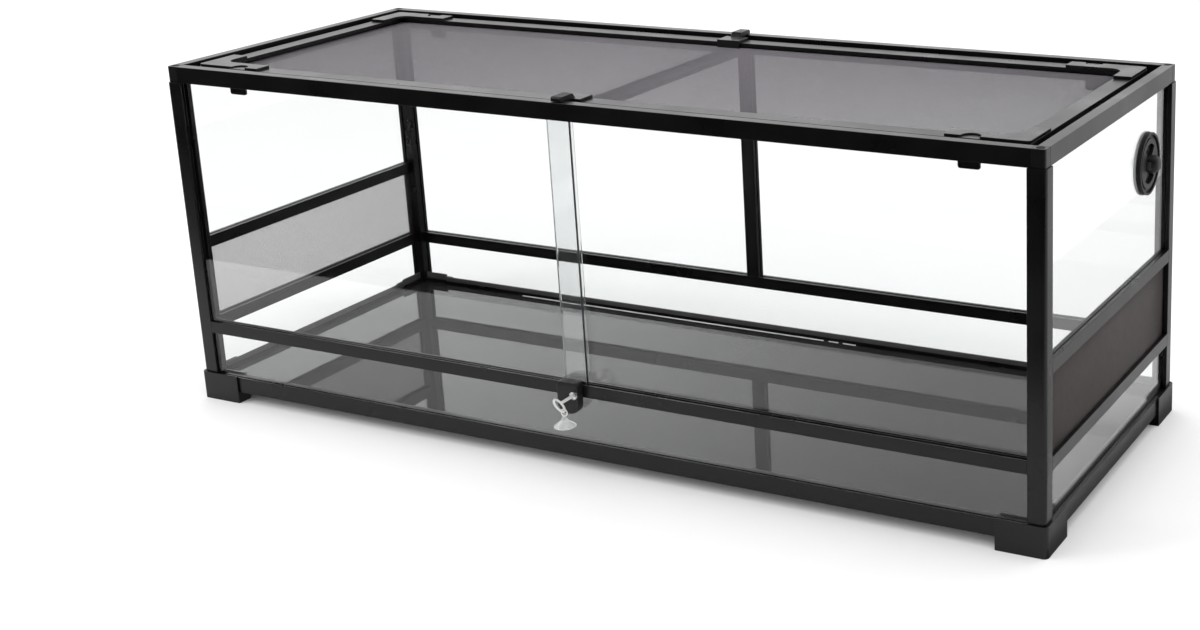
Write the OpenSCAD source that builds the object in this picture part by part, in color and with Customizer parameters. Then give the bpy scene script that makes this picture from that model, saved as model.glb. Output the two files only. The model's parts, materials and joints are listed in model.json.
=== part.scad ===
// Front-opening reptile terrarium: an aluminium frame on four corner feet, glass walls,
// a middle belt with two sliding glass doors above it, mesh strips and one rotary vent in
// the side walls, a lift-off mesh lid with four slide latches, and a key lock on the door.
//
// Millimetres. +X is the tank's right, -Y its front, +Z up, and the feet stand on z = 0.
// Every module below draws in the tank's own axes, with the tank centred on x = y = 0;
// placed() then moves each piece back so that the whole box, key included, is centred.

/* [Tank] */
// length of the tank over its feet
tank_length = 1219.2; // [1000:0.2:1400]
// depth of the tank over its feet
tank_depth = 457.2; // [400:0.2:600]
// height of the tank to the top of its frame
tank_height = 457.2; // [440:0.2:600]
// thickness of every sheet of glass except the base
glass_t = 4; // [3:0.5:4]

/* [Frame] */
// width of a corner post, along the tank's length
post_w = 22; // [20:1:30]
// depth of a corner post, front to back
post_d = 20; // [18:1:26]
// radius of the rounded outer edge of a post
post_edge_r = 5; // [2:0.5:6]
// depth of the bottom, belt and mesh rails, from their outer face inward
rail_d = 15; // [15:0.5:18]
// height of the bottom rails
bottom_rail_h = 21; // [18:1:30]
// height of the belt and mesh rails
belt_rail_h = 16; // [14:1:20]
// height of the belt rails' underside above the ground
belt_z = 95; // [85:1:140]
// height of the side mesh rails' underside above the ground
mesh_rail_z = 207; // [180:1:280]
// depth of the top rails, from their outer face inward
top_rail_d = 14; // [14:0.5:16]
// height of the top rails
top_rail_h = 21; // [18:1:26]
// width of the ledge inside the top rails that carries the lid
lid_ledge = 6; // [5:0.5:8]
// depth of the grooves that hold a fixed pane
pane_groove = 6; // [4:0.5:7]
// width of the upright between the two back panes
mullion_w = 19; // [16:1:30]

/* [Feet] */
// thickness of a foot's wall around the frame
foot_wall = 3; // [2:0.5:4]
// thickness of a foot's floor under the frame
foot_floor = 15; // [8:1:20]
// length of each arm of a foot, from its outer corner
foot_arm = 62; // [45:1:90]
// height of a foot
foot_h = 38; // [30:1:45]
// radius of a foot's outer edge
foot_edge_r = 6; // [3:0.5:8]

/* [Doors] */
// how far the two closed doors overlap at the middle
door_overlap = 34; // [20:1:60]
// height of a door above the floor of its lower track
door_rise = 5; // [4:0.5:5]

/* [Lid] */
// width of the lid's raised bars, without their flange
lid_bar_w = 23; // [20:0.5:30]
// height of the lid's raised bars above their flange
lid_bar_h = 12; // [10:0.5:13]
// thickness of the flange that rests on the ledge
lid_flange_t = 2.5; // [2:0.5:3]
// width of the crossbar under the middle of the mesh
crossbar_w = 34; // [24:1:40]
// length of a lid corner plate along the tank
corner_plate_l = 98; // [90:1:120]
// distance of each latch from the middle of the lid
latch_x = 510; // [400:1:512]
// width of a latch
latch_w = 26; // [20:1:30]
// how far a latch slides out to hook under the ledge
latch_travel = 3.6; // [3:0.1:3.6]

/* [Vent] */
// distance of the vent behind the tank's middle
vent_y = 125; // [60:1:150]
// height of the vent's middle above the ground
vent_z = 355; // [300:1:375]
// radius of the vent's outer flange
vent_r = 42; // [38:1:46]
// radius of the hole in the glass
vent_hole_r = 30; // [28:1:32]

/* [Lock] */
// width of the lock housing
lock_w = 36; // [34:1:44]
// distance of the key's axis right of the tank's middle
lock_x = 7; // [0:0.5:8]
// height of the key's axis above the ground
lock_z = 101; // [99:0.5:102]
// angle of the key's bow from level, as it is left in the lock
key_lean = 45; // [40:1:60]
// radius of the suction cup's rim
cup_r = 18; // [14:0.5:18]

/* [Hidden] */
// one cut past a face, so that a cut never ends exactly on it
past = 1;
// radial clearance of the running fits
run_gap = 0.06;
// free space left between a moving piece and its neighbour
air = 0.3;
// width of every glass groove
groove_w = glass_t + 0.4;

foot_x = tank_length / 2;
foot_y = tank_depth / 2;
frame_x = foot_x - foot_wall;
frame_y = foot_y - foot_wall;
// the top frame is set in a little from the posts
top_inset = 1.5;
top_x = frame_x - top_inset;
top_y = frame_y - top_inset;
post_in_x = frame_x - post_w;
post_in_y = frame_y - post_d;

frame_z = foot_floor;
bottom_z = frame_z + bottom_rail_h;
belt_top = belt_z + belt_rail_h;
mesh_rail_top = mesh_rail_z + belt_rail_h;
top_z = tank_height - top_rail_h;

// distances of the glass planes behind the frame's outer face
outer_track = 5;
inner_track = 11;
pane_plane = 7.5;
door_groove = 5;
door_head_groove = 12;

// top corner blocks between the top rails
corner_w = 16;
corner_d = top_rail_d;
corner_in_x = top_x - corner_w;
corner_in_y = top_y - corner_d;

ledge_t = 3;
ledge_z = top_z;
ledge_in_x = top_x - top_rail_d - lid_ledge;
ledge_in_y = top_y - top_rail_d - lid_ledge;

// glass ends stop this far short of the top corner blocks
glass_end = 0.2;
base_t = 5;
base_ledge_t = 3;
base_ledge_z = 24;
base_ledge_d = 14.6;
mesh_t = 1;
strip_rim = 3;
strip_bar = 4;

// the lid lies inside the top rails with this gap all round
lid_gap = 0.8;
lid_x = top_x - top_rail_d - lid_gap;
lid_y = top_y - top_rail_d - lid_gap;
lid_flange_w = 12.7;
bar_x = lid_x - lid_flange_w;
bar_y = lid_y - lid_flange_w;
bar_in_x = bar_x - lid_bar_w;
bar_in_y = bar_y - lid_bar_w;
lid_z = ledge_z + ledge_t;
flange_top = lid_z + lid_flange_t;
bar_top = flange_top + lid_bar_h;
mesh_groove = 5;
mesh_z = flange_top + 4.3;
lid_mesh_t = 0.8;
lid_mesh_rim = 3;
lid_mesh_bar = 5;
crossbar_h = 6;
plate_t = 3.4;
plate_top = bar_top + plate_t;

latch_t = 3;
latch_hook = 3.5;
latch_bottom = 422;
latch_hook_z = 431;
latch_in_y = bar_y + 0.4;

vent_web_t = 2;
vent_rim_w = 3;
vent_rim_h = 5;
vent_face_x = frame_x - pane_plane + glass_t / 2;
vent_pin_r = 4;
vent_hub_r = vent_pin_r + 3;
vent_disc_r = 34;
vent_disc_t = 2;
vent_fan_in = 11;
vent_fan_out = vent_hole_r - 3;
vent_fan_angle = 84;
vent_hub_l = 6;
vent_collar_t = 2;
vent_clamp_t = 3;
vent_grille_t = 1.5;

lock_front = -frame_y - 17.4;
lock_back = -frame_y - 0.6;
lock_top = belt_top + 4.6;
lock_bottom = 74;
lock_wall = 4;
plug_r = 8;
key_t = 2;
bow_y = lock_front - 25;
bow_l = 12;
bow_w = 11;
bow_rim = 3;
link_r = 4.2;
link_wire_r = 0.8;
// the middle of the bow's rim where the link hangs
hang_x = lock_x + (bow_l - bow_rim / 2) * cos(key_lean);
hang_z = lock_z - (bow_l - bow_rim / 2) * sin(key_lean);
link_z = hang_z - 1.35;

// the suction cup reaches furthest forward, so this centres the whole box front to back
centre_y = (cup_r - bow_y - foot_y) / 2;

black_metal = "#1c1b1c";
black_plastic = "#151416";
clear_glass = [0.78, 0.84, 0.86, 0.3];
smoked_glass = [0.25, 0.27, 0.28, 0.9];
dark_mesh = "#57585a";
steel = "#c9cbcd";
clear_vinyl = [0.85, 0.9, 0.92, 0.6];

$fn = 48;

// ---------------------------------------------------------------- shared shapes

// Colours a piece and moves it from the tank's own axes into the shared frame.
module placed(paint) {
  color(paint)
    translate([0, centre_y, 0])
      children();
}

// A block between two opposite corners.
module block(low, high) {
  translate(low)
    cube(high - low);
}

// Equal openings between two opposite corners: counts along each axis, with a bar between two.
module openings(low, high, counts, bar) {
  step = [for (a = [0:2]) (high[a] - low[a] + bar) / counts[a]];
  for (i = [0:counts.x - 1])
    for (j = [0:counts.y - 1])
      for (k = [0:counts.z - 1])
        translate([low.x + i * step.x, low.y + j * step.y, low.z + k * step.z])
          cube([step.x - bar, step.y - bar, step.z - bar]);
}

// A section drawn as (y, z), drawn out from x = a to x = b.
module along_x(a, b) {
  translate([a, 0, 0])
    rotate([90, 0, 90])
      linear_extrude(b - a)
        children();
}

// What is cut away to round the upright edge at (x, y) of a piece that lies towards -x, -y.
module edge_cut(x, y, r, z0, z1) {
  translate([x - r, y - r, z0 - past])
    difference() {
      cube([r + past, r + past, z1 - z0 + 2 * past]);
      translate([0, 0, -past])
        cylinder(r = r, h = z1 - z0 + 4 * past);
    }
}

// A groove along x in a horizontal face, with its middle at y.
module groove_x(y, x, z0, z1) {
  block([-x, y - groove_w / 2, z0], [x, y + groove_w / 2, z1]);
}

// A groove along y in a horizontal face, with its middle at x.
module groove_y(x, y, z0, z1) {
  block([x - groove_w / 2, -y, z0], [x + groove_w / 2, y, z1]);
}

// Draws its children as they are, or mirrored to the left or to the front.
module sided(left, front) {
  mirror([left ? 1 : 0, 0, 0])
    mirror([0, front ? 1 : 0, 0])
      children();
}

// ---------------------------------------------------------------- feet and posts

// A foot for the right back corner: an L of two arms, open above for the rails and the post.
module foot() {
  difference() {
    union() {
      block([foot_x - foot_arm, foot_y - rail_d - 2 * foot_wall, 0], [foot_x, foot_y, foot_h]);
      block([foot_x - rail_d - 2 * foot_wall, foot_y - foot_arm, 0], [foot_x, foot_y, foot_h]);
    }
    edge_cut(foot_x, foot_y, foot_edge_r, 0, foot_h);
    block(
      [foot_x - foot_arm - past, frame_y - rail_d, foot_floor],
      [frame_x, frame_y, foot_h + past]
    );
    block(
      [frame_x - rail_d, foot_y - foot_arm - past, foot_floor],
      [frame_x, frame_y, foot_h + past]
    );
    block([post_in_x, post_in_y, foot_floor], [frame_x, frame_y, foot_h + past]);
  }
}

// A post for the right back corner, grooved towards the other posts.
module post(planes) {
  difference() {
    block([post_in_x, post_in_y, frame_z], [frame_x, frame_y, top_z]);
    edge_cut(frame_x, frame_y, post_edge_r, frame_z, top_z);
    for (plane = planes)
      block(
        [post_in_x - past, frame_y - plane - groove_w / 2, frame_z - past],
        [post_in_x + pane_groove, frame_y - plane + groove_w / 2, top_z + past]
      );
    block(
      [frame_x - pane_plane - groove_w / 2, post_in_y - past, frame_z - past],
      [frame_x - pane_plane + groove_w / 2, post_in_y + pane_groove, top_z + past]
    );
  }
}

module post_front(left) {
  placed(black_metal)
    sided(left, true)
      post([outer_track, inner_track]);
}

module post_back(left) {
  placed(black_metal)
    sided(left, false)
      post([pane_plane]);
}

// ---------------------------------------------------------------- rails

// A bottom rail for the back: a pane groove on top and a ledge for the base, clear of the feet.
module bottom_rail_long(plane) {
  difference() {
    union() {
      block([-post_in_x, frame_y - rail_d, frame_z], [post_in_x, frame_y, bottom_z]);
      block(
        [foot_arm - foot_x + past, frame_y - rail_d - base_ledge_d, base_ledge_z],
        [foot_x - foot_arm - past, frame_y - rail_d, base_ledge_z + base_ledge_t]
      );
    }
    groove_x(frame_y - plane, post_in_x + past, bottom_z - pane_groove, bottom_z + past);
  }
}

// The same for the right side.
module bottom_rail_short() {
  difference() {
    union() {
      block([frame_x - rail_d, -post_in_y, frame_z], [frame_x, post_in_y, bottom_z]);
      block(
        [frame_x - rail_d - base_ledge_d, foot_arm - foot_y + past, base_ledge_z],
        [frame_x - rail_d, foot_y - foot_arm - past, base_ledge_z + base_ledge_t]
      );
    }
    groove_y(frame_x - pane_plane, post_in_y + past, bottom_z - pane_groove, bottom_z + past);
  }
}

// The rail that the doors run on: two tracks above and the lower pane's groove below.
module door_rail() {
  placed(black_metal)
    sided(false, true)
      difference() {
        block([-post_in_x, frame_y - rail_d, belt_z], [post_in_x, frame_y, belt_top]);
        for (plane = [outer_track, inner_track])
          groove_x(frame_y - plane, post_in_x + past, belt_top - door_groove, belt_top + past);
        groove_x(frame_y - outer_track, post_in_x + past, belt_z - past, belt_z + pane_groove);
      }
}

module belt_rail_back() {
  placed(black_metal)
    difference() {
      block([-post_in_x, frame_y - rail_d, belt_z], [post_in_x, frame_y, belt_top]);
      groove_x(frame_y - pane_plane, post_in_x + past, belt_top - pane_groove, belt_top + past);
      groove_x(frame_y - pane_plane, post_in_x + past, belt_z - past, belt_z + pane_groove);
    }
}

// A right side rail between two sheets, grooved above and below.
module side_rail(z) {
  difference() {
    block([frame_x - rail_d, -post_in_y, z], [frame_x, post_in_y, z + belt_rail_h]);
    groove_y(
      frame_x - pane_plane,
      post_in_y + past,
      z + belt_rail_h - pane_groove,
      z + belt_rail_h + past
    );
    groove_y(frame_x - pane_plane, post_in_y + past, z - past, z + pane_groove);
  }
}

// The upright between the two back panes, grooved on both sides.
module mullion_back() {
  placed(black_metal)
    difference() {
      block([-mullion_w / 2, frame_y - rail_d, belt_top], [mullion_w / 2, frame_y, top_z]);
      for (side = [-1, 1])
        translate([side * mullion_w / 2, frame_y - pane_plane, 0])
          block(
            [-door_groove, -groove_w / 2, belt_top - past],
            [door_groove, groove_w / 2, top_z + past]
          );
    }
}

// A top rail for the back, before its glass grooves: a box with the lid's ledge at its foot.
module top_rail_long() {
  block([-corner_in_x, top_y - top_rail_d, top_z], [corner_in_x, top_y, tank_height]);
  block(
    [-corner_in_x, ledge_in_y, ledge_z],
    [corner_in_x, top_y - top_rail_d, ledge_z + ledge_t]
  );
}

module rail_top_back() {
  placed(black_metal)
    difference() {
      top_rail_long();
      groove_x(frame_y - pane_plane, corner_in_x + past, top_z - past, top_z + pane_groove);
    }
}

// The doors' head tracks are deep, so that a door can be lifted off its lower track.
module rail_top_front() {
  placed(black_metal)
    sided(false, true)
      difference() {
        top_rail_long();
        for (plane = [outer_track, inner_track])
          groove_x(
            frame_y - plane,
            corner_in_x + past,
            top_z - past,
            top_z + door_head_groove
          );
      }
}

module rail_top_side(left) {
  placed(black_metal)
    sided(left, false)
      difference() {
        union() {
          block([top_x - top_rail_d, -corner_in_y, top_z], [top_x, corner_in_y, tank_height]);
          block(
            [ledge_in_x, -ledge_in_y, ledge_z],
            [top_x - top_rail_d, ledge_in_y, ledge_z + ledge_t]
          );
        }
        groove_y(frame_x - pane_plane, corner_in_y + past, top_z - past, top_z + pane_groove);
      }
}

// The corner blocks that join the top rails over the posts, each recessed for its screw.
cap_r = 4.6;
cap_recess = 1.2;

module cap_centre() {
  translate([top_x - corner_w / 2, top_y - corner_d / 2, 0])
    children();
}

module top_corners() {
  placed(black_plastic)
    for (left = [false, true])
      for (front = [false, true])
        sided(left, front)
          difference() {
            block([corner_in_x, corner_in_y, top_z], [top_x, top_y, tank_height]);
            edge_cut(top_x, top_y, post_edge_r - top_inset, top_z, tank_height);
            cap_centre()
              translate([0, 0, tank_height - cap_recess])
                cylinder(r = cap_r + air, h = cap_recess + past);
          }
}

// A domed cap over each corner screw.
module corner_caps() {
  placed(black_plastic)
    for (left = [false, true])
      for (front = [false, true])
        sided(left, front)
          cap_centre()
            translate([0, 0, tank_height - cap_recess])
              rotate_extrude()
                polygon([
                  [0, 0],
                  [cap_r, 0],
                  [cap_r, cap_recess - 0.4],
                  [cap_r - 0.8, cap_recess],
                  [0, cap_recess]
                ]);
}

// ---------------------------------------------------------------- glass and side mesh

// A pane in a plane across the tank, from (x0, z0) to (x1, z1), with its middle at y.
module pane_across(y, low, high) {
  block([low.x, y - glass_t / 2, low.y], [high.x, y + glass_t / 2, high.y]);
}

// A pane in a plane along a side, with its middle at x.
module pane_side(x, low, high, t) {
  block([x - t / 2, low.x, low.y], [x + t / 2, high.x, high.y]);
}

// the bottoms and tops of the fixed sheets, each inside its groove
lower_z0 = bottom_z - pane_groove;
lower_z1 = belt_z + pane_groove - 0.5;
upper_z1 = top_z + pane_groove - 0.5;
strip_z0 = belt_top - pane_groove;
strip_z1 = mesh_rail_z + pane_groove - 0.5;
wall_z0 = mesh_rail_top - pane_groove;
across_x = corner_in_x - glass_end;
side_y = corner_in_y - glass_end;
side_plane = frame_x - pane_plane;
back_plane = frame_y - pane_plane;

// The base lies on the rails' ledges and is notched round the posts.
module base_pane() {
  base_x = frame_x - rail_d - 3.6;
  base_y = frame_y - rail_d - 3.6;
  notch_x = post_in_x - 2.6;
  notch_y = post_in_y - 2.6;
  base_z = base_ledge_z + base_ledge_t;
  placed(smoked_glass)
    difference() {
      block([-base_x, -base_y, base_z], [base_x, base_y, base_z + base_t]);
      for (left = [false, true])
        for (front = [false, true])
          sided(left, front)
            block(
              [notch_x, notch_y, base_z - past],
              [base_x + past, base_y + past, base_z + base_t + past]
            );
    }
}

module pane_front_lower() {
  placed(clear_glass)
    pane_across(outer_track - frame_y, [-across_x, lower_z0], [across_x, lower_z1]);
}

module pane_back_lower() {
  placed(clear_glass)
    pane_across(back_plane, [-across_x, lower_z0], [across_x, lower_z1]);
}

module pane_side_lower(left) {
  placed(clear_glass)
    sided(left, false)
      pane_side(side_plane, [-side_y, lower_z0], [side_y, lower_z1], glass_t);
}

module pane_back_upper(left) {
  placed(clear_glass)
    sided(left, false)
      pane_across(
        back_plane,
        [mullion_w / 2 - door_groove + 0.5, belt_top - pane_groove],
        [across_x, upper_z1]
      );
}

module pane_left_upper() {
  placed(clear_glass)
    sided(true, false)
      pane_side(side_plane, [-side_y, wall_z0], [side_y, upper_z1], glass_t);
}

// The right wall has the hole for the vent.
module pane_right_upper() {
  placed(clear_glass)
    difference() {
      pane_side(side_plane, [-side_y, wall_z0], [side_y, upper_z1], glass_t);
      at_vent(side_plane - glass_t)
        cylinder(r = vent_hole_r, h = 2 * glass_t);
    }
}

// A side strip: its weave is drawn as a plain grid of large openings.
module side_mesh(left) {
  open_y = post_in_y - strip_rim;
  placed(dark_mesh)
    sided(left, false)
      difference() {
        pane_side(side_plane, [-side_y, strip_z0], [side_y, strip_z1], mesh_t);
        openings(
          [side_plane - mesh_t, -open_y, belt_top + strip_rim],
          [side_plane + mesh_t, open_y, mesh_rail_z - strip_rim],
          [1, 8, 2],
          strip_bar
        );
      }
}

// ---------------------------------------------------------------- doors

// how far a closed door enters the groove in its post
door_entry = 3.4;

module door(plane, x0, x1) {
  placed(clear_glass)
    pane_across(
      plane - frame_y,
      [x0, belt_top - door_groove],
      [x1, top_z + door_rise + 0.8]
    );
}

module door_left() {
  door(outer_track, -post_in_x - door_entry, door_overlap / 2);
}

module door_right() {
  door(inner_track, -door_overlap / 2, post_in_x + door_entry);
}

// ---------------------------------------------------------------- lock

// The housing hangs over the rail from a lip that is fixed to the left door.
module lock_housing() {
  foot_r = 26;
  placed(black_plastic)
    difference() {
      union() {
        intersection() {
          block(
            [-lock_w / 2, lock_front, lock_bottom],
            [lock_w / 2, lock_back, lock_top]
          );
          translate([0, lock_back + past, lock_bottom + foot_r])
            rotate([90, 0, 0])
              cylinder(r = foot_r, h = lock_back - lock_front + 2 * past);
        }
        block(
          [-lock_w / 2, lock_front, lock_bottom + foot_r],
          [lock_w / 2, lock_back, lock_top]
        );
        block(
          [-lock_w / 2, lock_back, belt_top + 0.6],
          [door_overlap / 2, outer_track - glass_t / 2 - frame_y, lock_top]
        );
      }
      // the chamber that the cam turns in, open at the back
      translate([lock_x, lock_back + past, lock_z])
        rotate([90, 0, 0])
          cylinder(r = plug_r + 1.5, h = lock_back - lock_front - lock_wall + past);
      block(
        [-lock_w / 2 + lock_wall, lock_front + lock_wall, lock_bottom + 8],
        [lock_x + plug_r, lock_back + past, lock_z + 6]
      );
      // the plug's bore
      translate([lock_x, lock_back, lock_z])
        rotate([90, 0, 0])
          cylinder(r = plug_r + run_gap, h = lock_back - lock_front + past);
    }
}

// The plug turns in the housing; its face stands a little proud, slotted for the key.
module lock_plug() {
  proud = 2;
  placed(steel)
    at_lock()
      difference() {
        union() {
          translate([0, 0, -(lock_wall + 1)])
            cylinder(r = plug_r, h = lock_wall + 1 + air);
          translate([0, 0, air])
            cylinder(r = plug_r + 1.2, h = proud - air);
        }
        rotate([0, 0, -key_lean])
          block([-4.2, -key_t / 2 - 0.1, -(lock_wall + 2)], [4.2, key_t / 2 + 0.1, proud + past]);
      }
}

// A flat cam on the back of the plug.
module lock_cam() {
  cam_l = 15;
  cam_t = 3;
  placed(steel)
    at_lock()
      translate([0, 0, -(lock_wall + 1 + cam_t)])
        difference() {
          hull() {
            cylinder(r = 6, h = cam_t, $fn = 32);
            translate([0, 4 - cam_l, 0])
              cylinder(r = 4, h = cam_t, $fn = 32);
          }
          rotate([0, 0, -key_lean])
            block([-4.2, -key_t / 2 - 0.1, -past], [4.2, key_t / 2 + 0.1, cam_t + past]);
        }
}

// The key's axis points out of the lock, towards the front: local z is -Y, local y is up.
module at_lock() {
  translate([lock_x, lock_front, lock_z])
    rotate([90, 0, 0])
      children();
}

// A flat key: blade, neck and an oval bow, in the plane that holds the key's own axis.
module key() {
  bow_at = lock_front - bow_y;
  placed(steel)
    at_lock()
      rotate([0, 0, -key_lean])
        translate([0, key_t / 2, 0])
          rotate([90, 0, 0])
            linear_extrude(key_t)
              difference() {
                union() {
                  translate([-4, -(lock_wall + 3)])
                    square([8, lock_wall + 3 + 10]);
                  translate([-3, 8])
                    square([6, 9]);
                  translate([0, bow_at])
                    scale([bow_l / bow_w, 1])
                      circle(r = bow_w);
                }
                translate([0, bow_at])
                  scale([(bow_l - bow_rim) / (bow_w - bow_rim), 1])
                    circle(r = bow_w - bow_rim);
              }
}

// The wire ring that joins the suction cup to the key's bow.
module key_link() {
  placed(steel)
    translate([hang_x, bow_y, link_z])
      rotate([90, 0, 0])
        rotate_extrude()
          translate([link_r, 0])
            circle(r = link_wire_r, $fn = 24);
}

// A clear suction cup, rim down, hung by the eye on its nub.
module suction_cup() {
  eye_z = link_z - link_r;
  eye_r = 2;
  // the eye sits a little high, clear of the link where it curves up
  eye_up = 0.5;
  placed(clear_vinyl)
    translate([hang_x, bow_y, eye_z])
      difference() {
        rotate_extrude()
          polygon([
            [0, -5.2],
            [5.4, -6.2],
            [10.5, -8.6],
            [15, -11.4],
            [cup_r, -13.2],
            [cup_r, -12],
            [15.4, -9.8],
            [10.4, -7],
            [6.2, -4.8],
            [4.6, -3.6],
            [3.4, -2],
            [2.7, 0],
            [2.7, 2.8],
            [2, 3.4],
            [0, 3.4]
          ]);
        translate([-4, 0, eye_up])
          rotate([0, 90, 0])
            cylinder(r = eye_r, h = 8, $fn = 32);
      }
}

// ---------------------------------------------------------------- vent

// The vent's axis is level and points out of the right wall: local z is +X, local y is up.
module at_vent(x) {
  translate([x, vent_y, vent_z])
    rotate([90, 0, 90])
      children();
}

// Two fan-shaped openings, above and below the middle.
module fan_openings(h) {
  for (turn = [90, 270])
    rotate([0, 0, turn - vent_fan_angle / 2])
      rotate_extrude(angle = vent_fan_angle)
        translate([vent_fan_in, 0])
          square([vent_fan_out - vent_fan_in, h]);
}

// The outer flange: a web with two openings, a raised rim, a collar through the glass and a hub.
module vent_flange() {
  collar_r = vent_hole_r - 0.5;
  placed(black_plastic)
    at_vent(vent_face_x)
      difference() {
        union() {
          cylinder(r = vent_r, h = vent_web_t);
          difference() {
            cylinder(r = vent_r, h = vent_rim_h);
            translate([0, 0, vent_web_t])
              cylinder(r = vent_r - vent_rim_w, h = vent_rim_h);
          }
          translate([0, 0, -glass_t - vent_clamp_t])
            difference() {
              cylinder(r = collar_r, h = glass_t + vent_clamp_t + vent_web_t / 2);
              translate([0, 0, -past])
                cylinder(r = collar_r - vent_collar_t, h = glass_t + vent_clamp_t + past);
            }
          translate([0, 0, -vent_hub_l])
            cylinder(r = vent_hub_r, h = vent_hub_l + vent_web_t / 2);
        }
        translate([0, 0, -past])
          difference() {
            fan_openings(vent_web_t + 2 * past);
            cylinder(r = vent_fan_in, h = 3 * vent_web_t);
          }
        translate([0, 0, -2 * vent_hub_l])
          cylinder(r = vent_pin_r + run_gap, h = 4 * vent_hub_l);
      }
}

// The grille behind the flange's two openings: two rows of short slots round the hub.
module vent_grille() {
  slots = 6;
  slot_angle = 8;
  slot_pitch = 14;
  rib = 1.5;
  row_in = vent_fan_in + rib;
  row_l = (vent_fan_out - 0.7 - row_in - rib) / 2;
  first = -((slots - 1) * slot_pitch + slot_angle) / 2;
  placed(black_plastic)
    at_vent(vent_face_x - vent_grille_t)
      difference() {
        cylinder(r = vent_hole_r - 0.5 - vent_collar_t - 0.1, h = vent_grille_t);
        translate([0, 0, -past])
          cylinder(r = vent_hub_r + 0.1, h = vent_grille_t + 2 * past);
        for (turn = [90, 270])
          for (i = [0:slots - 1])
            rotate([0, 0, turn + first + i * slot_pitch])
              for (row = [0, 1])
                translate([0, 0, -past])
                  rotate_extrude(angle = slot_angle)
                    translate([row_in + row * (row_l + rib), 0])
                      square([row_l, vent_grille_t + 2 * past]);
      }
}

// The ring inside the tank that clamps the flange to the glass.
module vent_clamp_ring() {
  placed(black_plastic)
    at_vent(vent_face_x - glass_t - vent_clamp_t)
      difference() {
        cylinder(r = vent_r + 1, h = vent_clamp_t);
        translate([0, 0, -past])
          cylinder(r = vent_hole_r - 0.2, h = vent_clamp_t + 2 * past);
      }
}

// The shutter disc with its winged grip and the pin that turns in the hub.
module vent_shutter() {
  disc_x = vent_web_t + 0.2;
  grip_l = 16;
  grip_h = 13;
  grip_t = 5.5;
  placed(black_plastic)
    at_vent(vent_face_x) {
      difference() {
        translate([0, 0, disc_x])
          cylinder(r = vent_disc_r, h = vent_disc_t);
        translate([0, 0, disc_x - past])
          fan_openings(vent_disc_t + 2 * past);
      }
      translate([0, 0, disc_x + vent_disc_t / 2])
        cylinder(r1 = 11, r2 = 9.5, h = 3);
      translate([0, 0, disc_x + vent_disc_t])
        intersection() {
          block([-grip_l, -grip_t, 0], [grip_l, grip_t, grip_h]);
          translate([0, grip_t + past, 0])
            rotate([90, 0, 0])
              cylinder(r = grip_l, h = 2 * grip_t + 2 * past);
        }
      translate([0, 0, -6.3])
        cylinder(r = vent_pin_r, h = 6.3 + disc_x + vent_disc_t / 2);
      translate([0, 0, -8])
        cylinder(r1 = vent_pin_r, r2 = vent_pin_r + 0.9, h = 1.7);
    }
}

// ---------------------------------------------------------------- lid

// A long bar for the back: the flange under the raised bar, cut for the mesh and two latches.
module lid_bar_long() {
  difference() {
    union() {
      block([-lid_x, bar_in_y, lid_z], [lid_x, lid_y, flange_top]);
      block([-bar_x, bar_in_y, flange_top], [bar_x, bar_y, bar_top]);
    }
    block(
      [-bar_in_x - mesh_groove, bar_in_y - past, mesh_z],
      [bar_in_x + mesh_groove, bar_in_y + mesh_groove, mesh_z + 2.5]
    );
    for (side = [-1, 1])
      translate([side * latch_x, 0, 0])
        block(
          [-latch_w / 2 - 0.6, bar_y, lid_z - past],
          [latch_w / 2 + 0.6, bar_y + 7.6, flange_top + past]
        );
  }
}

// A short bar for the right side, between the long ones.
module lid_bar_short() {
  difference() {
    union() {
      block([bar_in_x, -bar_in_y, lid_z], [lid_x, bar_in_y, flange_top]);
      block([bar_in_x, -bar_in_y, flange_top], [bar_x, bar_in_y, bar_top]);
    }
    block(
      [bar_in_x - past, -bar_in_y - past, mesh_z],
      [bar_in_x + mesh_groove, bar_in_y + past, mesh_z + 2.5]
    );
  }
}

// The flat bar under the mesh that ties the long bars together.
module lid_crossbar() {
  placed(black_metal)
    block(
      [-crossbar_w / 2, -bar_in_y, flange_top - crossbar_h],
      [crossbar_w / 2, bar_in_y, flange_top]
    );
}

// The mesh sheet, notched round the webs of the two tees, its weave drawn as a plain grid.
module lid_mesh() {
  open_in_x = crossbar_w / 2 + lid_mesh_rim;
  open_x = bar_in_x - lid_mesh_rim;
  open_y = bar_in_y - lid_mesh_rim;
  placed(dark_mesh)
    difference() {
      block(
        [-bar_in_x - mesh_groove + 0.5, -bar_in_y - mesh_groove + 0.5, mesh_z],
        [bar_in_x + mesh_groove - 0.5, bar_in_y + mesh_groove - 0.5, mesh_z + lid_mesh_t]
      );
      for (front = [false, true])
        sided(false, front)
          block(
            [-crossbar_w / 2 - 0.5, bar_in_y - web_t - 0.5, mesh_z - past],
            [crossbar_w / 2 + 0.5, bar_y, mesh_z + 2]
          );
      for (left = [false, true])
        sided(left, false)
          openings(
            [open_in_x, -open_y, mesh_z - past],
            [open_x, open_y, mesh_z + lid_mesh_t + past],
            [6, 4, 1],
            lid_mesh_bar
          );
    }
}

web_t = 3;
pad_r = 10.2;
pad_in = 1.6;

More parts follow.
